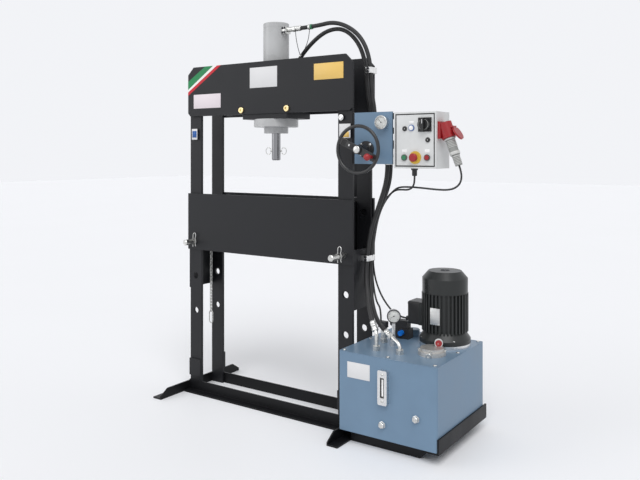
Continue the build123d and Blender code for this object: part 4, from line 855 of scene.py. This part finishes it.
class PRESS_OT_box_fittings(bpy.types.Operator):
    """Fit the seal, lamp, locks and tags of the electric box"""
    bl_idname = "press.box_fittings"
    bl_label = "Box fittings"

    def execute(self, context):
        self.seal()
        thin = context.scene.press_sizes.plate
        for name, x, z, wide, tall in TAGS:
            slab_part(name, spot(x - wide / 2, 0, z - tall / 2, DOOR_FACE - thin),
                      spot(x + wide / 2, 0, z + tall / 2, DOOR_FACE), thin / 3, "lamp_white", body="door")
        for name, x, z in LOCKS:
            turned_part(name, LOCK, spot(x, 0, z, DOOR_FACE), FRONT, 28, "black_plastic", body="door")
            slab_part(name + "_slot", spot(x - LOCK_SLOT_W, 0, z - LOCK_SLOT_H, DOOR_FACE - LOCK_SLOT_FRONT),
                      spot(x + LOCK_SLOT_W, 0, z + LOCK_SLOT_H, DOOR_FACE - LOCK_SLOT_BACK), 0.0003, "zinc",
                      body="door")
        turned_part("lamp_ring", LAMP_RING, LAMP_AT, FRONT, 32, "blue_plate", body="door", slot="steel")
        turned_part("lamp_lens", LAMP_LENS, LAMP_AT, FRONT, 32, "lamp_white", body="door")
        self.switch_marks()
        turned_part("box_gland_nut", GLAND_NUT, GLAND_AT, DOWN, 6, "black_plastic", angle=20)
        turned_part("box_gland_dome", GLAND_DOME, GLAND_AT, DOWN, 32, "black_plastic")
        return {"FINISHED"}

    def seal(self):
        """The dark rubber seal round the door."""
        past = Vector((SEAL_PAST, 0, SEAL_PAST))
        (x0, _, z0), (x1, _, z1) = low("door") - past, high("door") + past
        outline = [(x0, 0, z0), (x1, 0, z0), (x1, 0, z1), (x0, 0, z1)]
        finish(cut_sheet("door_seal", outline, DOOR_FACE, SEAL_THICK, SEAL_RIM), "seal_rubber")

    def switch_marks(self):
        """A pale ring and a pointer line on the main switch."""
        tip = middle("main_switch")
        tip.y = low("main_switch").y
        ring = spun("switch_ring", SWITCH_RING_WIRE, SWITCH_RING, tip + Vector((0, SWITCH_RING_IN, 0)), FRONT, 48)
        finish(ring, "grey_plastic", "main_switch", "black_plastic")
        slab_part("switch_line", tip + SWITCH_LINE[0], tip + SWITCH_LINE[1], 0.0002, "white_plate",
                  body="main_switch", slot="black_plastic")


# Ribs of the socket and the plug, in millimetres: distance along the plug, radius, length
SOCKET_TOP = Vector((1034, -50, 1472))
PLUG_WAY = Vector((0.35, 0, -0.9367))
PLUG_RIBS = [(24, 34.6, 12), (38, 28.0, 8), (52, 24.0, 3), (59, 24.0, 3), (66, 24.0, 3), (73, 24.0, 3),
             (80, 24.0, 3), (104, 24.5, 15), (124, 19.5, 6), (134, 19.0, 3), (141, 19.0, 3), (148, 19.0, 3),
             (155, 18.6, 3), (162, 18.2, 3)]


class PRESS_OT_plug_ribs(bpy.types.Operator):
    """Put the grip ribs on the plug and the collar on the socket"""
    bl_idname = "press.plug_ribs"
    bl_label = "Plug ribs"

    def execute(self, context):
        for count, (along, radius, length) in enumerate(PLUG_RIBS):
            name, material = (f"plug_rib_{count}", "pale_plastic") if count else ("socket_collar", "red_plastic")
            r, long = radius * MM, length * MM
            rings = [(r * 0.94, 0), (r, long * 0.2), (r, long * 0.8), (r * 0.94, long)]
            turned_part(name, rings, spot(*(SOCKET_TOP + PLUG_WAY * along)), PLUG_WAY, 32, material)
        return {"FINISHED"}


# Tank
DRAIN_PLUG = [(0.0175, 0), (0.0175, 0.003), (0.0150, 0.004), (0.0150, 0.014), (0.0130, 0.0165)]
WASHER = [(0.0195, 0), (0.0195, 0.0018), (0.0185, 0.0024)]
LID_SCREW = [(0.0085, 0), (0.0085, 0.0040), (0.0072, 0.0052)]
LID_SCREW_IN = 0.020
SMALL_SCREW = [(0.0062, 0), (0.0062, 0.0022), (0.0050, 0.0036), (0.0028, 0.0036), (0.0026, 0.0018)]
LEVEL_TUBE = [(0.0036, 0), (0.0042, 0.0008), (0.0042, 0.0748), (0.0036, 0.0756)]
LEVEL_TUBE_IN, LEVEL_TUBE_BELOW, LEVEL_SCREW_IN = 0.0050, 0.0378, 0.018
OIL_HALF, OIL_FRONT, OIL_BACK, OIL_SHARE, OIL_GAP = 0.0098, 0.0055, 0.0078, 0.29, 0.0004


class PRESS_OT_tank_fittings(bpy.types.Operator):
    """Fit the drain plugs, the lid's screws and the level glass"""
    bl_idname = "press.tank_fittings"
    bl_label = "Tank fittings"

    def execute(self, context):
        for name, x, z in (("drain_plug_low", 808, 129), ("drain_plug_high", 979, 190)):
            place = spot(x, 0, z, TANK_FACE)
            turned_part(name, DRAIN_PLUG, place, FRONT, 6, "zinc", angle=20)
            turned_part(name + "_washer", WASHER, place, FRONT, 32, "blue_paint")
        self.lid_screws()
        self.level_glass()
        return {"FINISHED"}

    def lid_screws(self):
        """Screws along the lid's edge."""
        inset = Vector((LID_SCREW_IN, LID_SCREW_IN, 0))
        (x0, y0, _), (x1, y1, top) = low("tank_lid") + inset, high("tank_lid") - inset
        spots = [(x0 + (x1 - x0) * share, y) for share in (0, 0.5, 1) for y in (y0, y1)]
        spots += [(x, (y0 + y1) / 2) for x in (x0, x1)]
        screws = [turned("lid_screw_0", LID_SCREW, (*spots[0], top), UP, 6)]
        for count, (x, y) in enumerate(spots[1:], 1):
            screws.append(copy_piece(screws[0], f"lid_screw_{count}", Vector((x - x0, y - y0, 0))))
        for screw in screws:
            finish(screw, "zinc", angle=20)

    def level_glass(self):
        """The oil behind its window, with a screw at each end of the case."""
        corner, far = low("level_gauge"), high("level_gauge")
        x, _, z = middle("level_gauge")
        half = (far.z - corner.z) * OIL_SHARE - OIL_GAP
        slab_part("level_oil", Vector((x - OIL_HALF, corner.y + OIL_FRONT, z - half)),
                  Vector((x + OIL_HALF, corner.y + OIL_BACK, z + half)), 0.0004, "oil")
        turned_part("level_tube", LEVEL_TUBE, (x, corner.y + LEVEL_TUBE_IN, z - LEVEL_TUBE_BELOW), UP, 24,
                    "lamp_white")
        for name, height in (("low", corner.z + LEVEL_SCREW_IN), ("high", far.z - LEVEL_SCREW_IN)):
            turned_part(f"level_screw_{name}", SMALL_SCREW, (x, corner.y, height), FRONT, 24, "zinc")


# Motor and filter: axes in X and Y, screw circles and places in millimetres
MOTOR_AXIS, MOTOR_BOLT_RING, MOTOR_BOLT_RISE = (942, 132), 112, 0.0195
FILTER_AXIS, FILTER_SCREW_RING, FILTER_SCREW_DROP = (969, -72), 59, 0.014
HEX_HEAD = [(0.0115, 0), (0.0115, 0.0050), (0.0100, 0.0062)]
FILTER_SCREW = [(0.0070, 0), (0.0070, 0.0065), (0.0062, 0.0072), (0.0036, 0.0072), (0.0034, 0.0040)]
NAME_PLATE_HALF, NAME_PLATE_LOW, NAME_PLATE_HIGH, NAME_PLATE_FRONT, NAME_PLATE_BACK = 25, 548, 627, 116, 111.5
RIVET, RIVET_IN = [(0.0026, 0), (0.0022, 0.0010), (0.0010, 0.0014)], 4
GUARD_RINGS, GUARD_WIRE, GUARD_SPOKE = (8, 15, 22), 0.0014, 0.024
GAUGE_AT, GAUGE_WAY = (985, -34, 480), Vector((0.42, -0.91, 0)).normalized()
STEM_AT = (985, -34, 462)
STEM = [(0.006, 0), (0.006, 0.010), (0.009, 0.012), (0.009, 0.020)]
GAUGE_CASE = [(0.0185, 0), (0.0195, 0.002), (0.0195, 0.014), (0.0180, 0.0165), (0.0160, 0.0165),
              (0.0158, 0.0150)]
GAUGE_FIELD = [(0.0155, 0), (0.0155, 0.0006), (0.0150, 0.0008)]
CASE_BACK, FIELD_OUT = 0.008, 0.0072
FILTER_PLUG = [(0.0125, 0), (0.0125, 0.006), (0.0110, 0.0075), (0.0060, 0.0075), (0.0058, 0.003)]
FILTER_PLUG_WAY, FILTER_PLUG_OUT, FILTER_PLUG_Z = (0.2, -0.98, 0), 64, 442
COVER_X, COVER_OUT, COVER_IN, COVER_EDGE, COVER_SCREW_EDGE = 767, 0.004, 0.002, 0.003, 0.012


class PRESS_OT_motor_fittings(bpy.types.Operator):
    """Fit the motor's plate, bolts and fan guard, and the filter's screws and indicator"""
    bl_idname = "press.motor_fittings"
    bl_label = "Motor and filter fittings"

    def execute(self, context):
        self.name_plate()
        bolt_circle("motor_bolt", MOTOR_AXIS, MOTOR_BOLT_RING, 4, 45, high("bell_ring").z + MOTOR_BOLT_RISE,
                    HEX_HEAD, 6)
        bolt_circle("filter_screw", FILTER_AXIS, FILTER_SCREW_RING, 4, 20,
                    high("return_filter").z - FILTER_SCREW_DROP, FILTER_SCREW, 20)
        self.guard()
        self.indicator()
        self.box_lid()
        return {"FINISHED"}

    def name_plate(self):
        """A bare plate on the fins."""
        x, y = MOTOR_AXIS
        slab_part("motor_plate", spot(x - NAME_PLATE_HALF, y - NAME_PLATE_FRONT, NAME_PLATE_LOW),
                  spot(x + NAME_PLATE_HALF, y - NAME_PLATE_BACK, NAME_PLATE_HIGH), 0.0006, "brushed_plate")
        side = NAME_PLATE_HALF - RIVET_IN
        corners = [(dx, z) for z in (NAME_PLATE_LOW + RIVET_IN, NAME_PLATE_HIGH - RIVET_IN) for dx in (-side, side)]
        for count, (dx, z) in enumerate(corners):
            turned_part(f"motor_rivet_{count}", RIVET, spot(x + dx, y - NAME_PLATE_FRONT, z), FRONT, 16, "zinc")

    def guard(self):
        """Rings and spokes over the fan's air inlet."""
        centre = spot(*MOTOR_AXIS, 0, None, high("fan_cowl").z)
        parts = [spun(f"guard_ring_{count}", GUARD_WIRE, radius * MM, centre, UP, 36)
                 for count, radius in enumerate(GUARD_RINGS)]
        for count in range(3):
            angle = math.pi * count / 3
            reach = Vector((math.cos(angle), math.sin(angle), 0)) * GUARD_SPOKE
            parts.append(wire(f"guard_spoke_{count}", [centre - reach, centre, centre + reach], GUARD_WIRE))
        for part in parts:
            finish(part, "black_steel", slot="motor_paint")

    def indicator(self):
        """The filter's clogging gauge, turned to the user, and the plug beside it."""
        place = spot(*GAUGE_AT)
        turned_part("filter_stem", STEM, spot(*STEM_AT), UP, 6, "zinc")
        turned_part("filter_gauge", GAUGE_CASE, place - GAUGE_WAY * CASE_BACK, GAUGE_WAY, 32, "white_plate")
        turned_part("filter_gauge_field", GAUGE_FIELD, place + GAUGE_WAY * FIELD_OUT, GAUGE_WAY, 32, "red_plastic")
        x, y = [axis + FILTER_PLUG_OUT * share for axis, share in zip(FILTER_AXIS, FILTER_PLUG_WAY)]
        turned_part("filter_plug", FILTER_PLUG, spot(x, y, FILTER_PLUG_Z), FILTER_PLUG_WAY, 24, "zinc")

    def box_lid(self):
        """The cover of the terminal box, with its four screws."""
        corner, far = low("terminal_box"), high("terminal_box")
        x = spot(COVER_X, 0, 0).x
        slab_part("terminal_cover", Vector((x - COVER_OUT, corner.y + COVER_EDGE, corner.z + COVER_EDGE)),
                  Vector((x + COVER_IN, far.y - COVER_EDGE, far.z - COVER_EDGE)), 0.0016, "black_plastic")
        spots = [(y, z) for z in (corner.z + COVER_SCREW_EDGE, far.z - COVER_SCREW_EDGE)
                 for y in (corner.y + COVER_SCREW_EDGE, far.y - COVER_SCREW_EDGE)]
        for count, (y, z) in enumerate(spots):
            turned_part(f"terminal_screw_{count}", SMALL_SCREW, (x - COVER_OUT, y, z), (-1, 0, 0), 20, "zinc")


# Wheel: blocks between two corners about the hub, and the column
WHEEL_AT = spot(630, -177.5, 1385)
SPOKE_TILT = math.radians(25)
HUB_CAP = [(0.0175, 0), (0.0175, 0.0015), (0.0150, 0.0035), (0.0090, 0.0045), (0.0045, 0.0050)]
HUB_CAP_OUT = 0.012
SPOKE_BLOCKS = [
    ("spoke_inset", (-0.066, -0.0056, -0.011), (-0.028, -0.0038, 0.011), 0.0008, "black_plastic"),
    ("spoke_mark", (-0.054, -0.0062, -0.005), (-0.047, -0.0052, 0.005), 0.0004, "white_plate"),
]
SPOKE_RIBS, RIB_START, RIB_STEP, RIB_WIDE = 5, -0.096, 0.005, 0.0024
RIB_FRONT, RIB_BACK, RIB_TALL = -0.0056, -0.0036, 0.0155
COLUMN_FLANGE = [(0.0420, 0), (0.0420, 0.007), (0.0400, 0.009), (0.0300, 0.010), (0.0290, 0.016),
                 (0.0265, 0.018)]
COLUMN_SCREW_RING, COLUMN_SCREW_OUT = 0.0355, 0.0085


class PRESS_OT_wheel_fittings(bpy.types.Operator):
    """Fit the hub cap, the grip ribs and the column's flange"""
    bl_idname = "press.wheel_fittings"
    bl_label = "Wheel fittings"

    def execute(self, context):
        turned_part("hub_cap", HUB_CAP, WHEEL_AT + Vector((0, -HUB_CAP_OUT, 0)), FRONT, 32, "zinc", body="wheel")
        blocks = list(SPOKE_BLOCKS)
        for count in range(SPOKE_RIBS):
            x = RIB_START + RIB_STEP * count
            blocks.append((f"spoke_rib_{count}", (x, RIB_FRONT, -RIB_TALL), (x + RIB_WIDE, RIB_BACK, RIB_TALL),
                           0.0007, "wheel_grip"))
        for name, low_corner, high_corner, bevel, material in blocks:
            piece = slab(name, WHEEL_AT + Vector(low_corner), WHEEL_AT + Vector(high_corner), bevel)
            turn_about(piece, SPOKE_TILT, WHEEL_AT)
            finish(piece, material, "wheel", "black_plastic")
        self.column_flange()
        return {"FINISHED"}

    def column_flange(self):
        """The flange where the column goes through the panel."""
        x, _, z = WHEEL_AT
        turned_part("column_flange", COLUMN_FLANGE, (x, PANEL_FACE, z), FRONT, 40, "black_iron")
        for count in range(4):
            angle = math.radians(45 + 90 * count)
            place = (x + COLUMN_SCREW_RING * math.cos(angle), PANEL_FACE - COLUMN_SCREW_OUT,
                     z + COLUMN_SCREW_RING * math.sin(angle))
            turned_part(f"column_screw_{count}", SMALL_SCREW, place, FRONT, 20, "white_zinc")


# Clamps of the hoses: corners and the bolts' X, with the jaws' sizes, in millimetres
CLAMPS = [("clamp_low", (560, -32, 828), (603, 34, 856), 588),
          ("clamp_high", (584, -30, 1768), (618, 30, 1798), 600)]
CLAMP_BOLT = [(0.0069, 0), (0.0069, 0.0050), (0.0060, 0.0062)]
JAW, JAW_SIDE, BOLT_IN = 6, 5, 7
# Rings on the hoses: rings of radius and height, place, way, finish
COLLAR_WAY = (1, 0, 0.03)
COLLARS = [
    ("hose_collar", [(0.0118, 0), (0.0150, 0.001), (0.0150, 0.013), (0.0118, 0.014)], (228, -13, 2035.4),
     COLLAR_WAY, "zinc"),
    ("hose_ring", [(0.0116, 0), (0.0138, 0.001), (0.0138, 0.008), (0.0116, 0.009)], (243, -13, 2035.8),
     COLLAR_WAY, "green_plastic"),
]
BAND = ("hose_band", [(0.0112, 0), (0.0128, 0.001), (0.0128, 0.011), (0.0112, 0.012)], (157, 13, 1888),
        (65, 0, 93), "zinc")
PORT_BLOCK = ((62, -35, 2013), (92, 9, 2050))
PORT_SCREWS = [(70, 2020), (84, 2020), (70, 2043), (84, 2043)]
SAFETY_WIRES = {
    "wire_short": [(150, -27, 2030), (153, -27, 1990), (157, -20, 1950), (160, -8, 1910), (163, 1, 1894)],
    "wire_long": [(238, -20, 2024), (237, -23, 1990), (219, -16, 1948), (190, -6, 1912), (170, 1, 1898)],
}
SAFETY_WIRE_RADIUS = 0.0018


class PRESS_OT_hose_clamps(bpy.types.Operator):
    """Fix the hoses with clamps and two safety wires"""
    bl_idname = "press.hose_clamps"
    bl_label = "Hose clamps"

    def execute(self, context):
        for clamp in CLAMPS:
            self.clamp(*clamp)
        for collar in COLLARS:
            self.collar(*collar)
        self.port_block()
        for name, points in SAFETY_WIRES.items():
            finish(wire(name, [spot(*point) for point in points], SAFETY_WIRE_RADIUS), "black_steel")
        self.collar(*BAND)
        return {"FINISHED"}

    def clamp(self, name, low_corner, high_corner, bolt_x):
        """Two bright jaws round the hoses and the bolts that hold them."""
        (x0, y0, z0), (x1, y1, z1) = low_corner, high_corner
        front = slab(name + "_front", spot(x0, y0, z0), spot(x1, y0 + JAW, z1), 0.0015)
        back = slab(name + "_back", spot(x0, y1 - JAW, z0), spot(x1, y1, z1), 0.0015)
        side = slab(name + "_side", spot(x1 - JAW_SIDE, y0 + JAW_SIDE, z0), spot(x1, y1 - JAW_SIDE, z1), 0.0015)
        finish(joined([front, back, side], name), "white_zinc")
        for count, z in enumerate((z0 + BOLT_IN, z1 - BOLT_IN)):
            turned_part(f"{name}_bolt_{count}", CLAMP_BOLT, spot(bolt_x, y0, z), FRONT, 6, "black_steel", angle=20)

    def collar(self, name, rings, place, way, material):
        """A ring round a hose."""
        turned_part(name, rings, spot(*place), way, 28, material)

    def port_block(self):
        """The block with four dark screws at the cylinder's upper port."""
        low_corner, high_corner = PORT_BLOCK
        slab_part("port_block", spot(*low_corner), spot(*high_corner), 0.002, "zinc")
        for count, (x, z) in enumerate(PORT_SCREWS):
            turned_part(f"port_screw_{count}", SMALL_SCREW, spot(x, low_corner[1], z), FRONT, 20, "black_steel")


# Stage: where each lamp stands and what it aims at
KEY_AT, KEY_AIM = (1.5, -2.2, 4.3), (0, 0, 0.9)
FILL_AT, FILL_AIM = (-3.5, -3.0, 2.6), (0, 0, 1.0)
FLOOR_SIZE, FLOOR_LIFT, SENSOR = 60, 1.06, 36.0


class PRESS_OT_stage(bpy.types.Operator):
    """Set the floor, the light and the camera"""
    bl_idname = "press.stage"
    bl_label = "Stage"

    def execute(self, context):
        settings = context.scene.press_stage
        clear_selection()
        bpy.ops.mesh.primitive_plane_add(size=FLOOR_SIZE)
        floor = context.object
        floor.name = "floor"
        material, tree, main = shader("pale_floor")
        pale = [channel * FLOOR_LIFT for channel in settings.pale]
        mottle(tree, main, pale, object_noise(tree, 0.8, 2), 0.004, 0.55, 0.01)
        main.inputs["Specular IOR Level"].default_value = 0.25
        floor.data.materials.append(material)
        self.world(context, settings)
        self.lamp("key_light", KEY_AT, KEY_AIM, settings.key_light, settings.lamp_spread)
        self.lamp("fill_light", FILL_AT, FILL_AIM, settings.fill_light, settings.lamp_spread)
        self.camera(context, settings)
        context.scene.view_settings.view_transform = "Standard"
        return {"FINISHED"}

    def world(self, context, settings):
        """Even light, and the floor's own colour for what the camera, metal and glass see."""
        world = bpy.data.worlds.new("studio")
        context.scene.world = world
        world.use_nodes = True
        tree = world.node_tree
        tree.nodes.clear()
        light = added(tree, "ShaderNodeBackground", {"Color": (1, 1, 1, 1), "Strength": settings.world_light})
        pale = added(tree, "ShaderNodeBackground", {"Color": (*settings.pale, 1)})
        path = added(tree, "ShaderNodeLightPath")
        seen = path.outputs["Is Camera Ray"]
        for ray in ("Is Glossy Ray", "Is Transmission Ray"):
            either = added(tree, "ShaderNodeMath", operation="MAXIMUM")
            tree.links.new(seen, either.inputs[0])
            tree.links.new(path.outputs[ray], either.inputs[1])
            seen = either.outputs[0]
        mix = added(tree, "ShaderNodeMixShader")
        tree.links.new(seen, mix.inputs["Fac"])
        tree.links.new(light.outputs[0], mix.inputs[1])
        tree.links.new(pale.outputs[0], mix.inputs[2])
        out = added(tree, "ShaderNodeOutputWorld")
        tree.links.new(mix.outputs[0], out.inputs["Surface"])

    def lamp(self, name, place, aim, strength, spread):
        """A broad even light from far away."""
        data = bpy.data.lights.new(name, "SUN")
        data.energy = strength
        data.angle = spread
        lamp = bpy.data.objects.new(name, data)
        bpy.context.scene.collection.objects.link(lamp)
        lamp.location = place
        lamp.rotation_euler = (Vector(aim) - Vector(place)).to_track_quat("-Z", "Y").to_euler()

    def camera(self, context, settings):
        """The photograph's view."""
        data = bpy.data.cameras.new("camera")
        data.lens = settings.lens
        data.sensor_width = SENSOR
        data.shift_y = settings.shift
        camera = bpy.data.objects.new("camera", data)
        context.scene.collection.objects.link(camera)
        camera.location = (settings.camera_side + AXIS_X, -settings.camera_back, settings.camera_height)
        camera.rotation_euler = (math.pi / 2, 0, settings.camera_yaw)
        context.scene.camera = camera


class PRESS_PT_panel(bpy.types.Panel):
    """The press's steps in the sidebar"""
    bl_idname = "PRESS_PT_panel"
    bl_label = "Workshop press"
    bl_space_type = "VIEW_3D"
    bl_region_type = "UI"
    bl_category = "Press"

    def draw(self, context):
        for step in STEPS:
            self.layout.operator(step.bl_idname)


STEPS = [PRESS_OT_finishes, PRESS_OT_plug_ribs, PRESS_OT_cords, PRESS_OT_hose_ends, PRESS_OT_plates,
         PRESS_OT_screws, PRESS_OT_clips, PRESS_OT_gauges, PRESS_OT_box_fittings, PRESS_OT_tank_fittings,
         PRESS_OT_motor_fittings, PRESS_OT_wheel_fittings, PRESS_OT_hose_clamps, PRESS_OT_stage]
GROUPS = {"press_colours": PressColours, "press_sizes": PressSizes, "press_stage": StageSettings}


def register():
    """Makes the groups, steps and panel known."""
    for name, group in GROUPS.items():
        bpy.utils.register_class(group)
        setattr(bpy.types.Scene, name, PointerProperty(type=group))
    for step in STEPS:
        bpy.utils.register_class(step)
    bpy.utils.register_class(PRESS_PT_panel)


def unregister():
    """Takes them back in the other order."""
    bpy.utils.unregister_class(PRESS_PT_panel)
    for step in reversed(STEPS):
        bpy.utils.unregister_class(step)
    for name, group in reversed(GROUPS.items()):
        delattr(bpy.types.Scene, name)
        bpy.utils.unregister_class(group)


def main():
    """Builds the whole picture, step by step."""
    register()
    bpy.ops.press.finishes()
    bpy.ops.press.plug_ribs()
    bpy.ops.press.cords()
    bpy.ops.press.hose_ends()
    bpy.ops.press.plates()
    bpy.ops.press.screws()
    bpy.ops.press.clips()
    bpy.ops.press.gauges()
    bpy.ops.press.box_fittings()
    bpy.ops.press.tank_fittings()
    bpy.ops.press.motor_fittings()
    bpy.ops.press.wheel_fittings()
    bpy.ops.press.hose_clamps()
    bpy.ops.press.stage()
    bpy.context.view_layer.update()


if __name__ == "__main__":
    main()
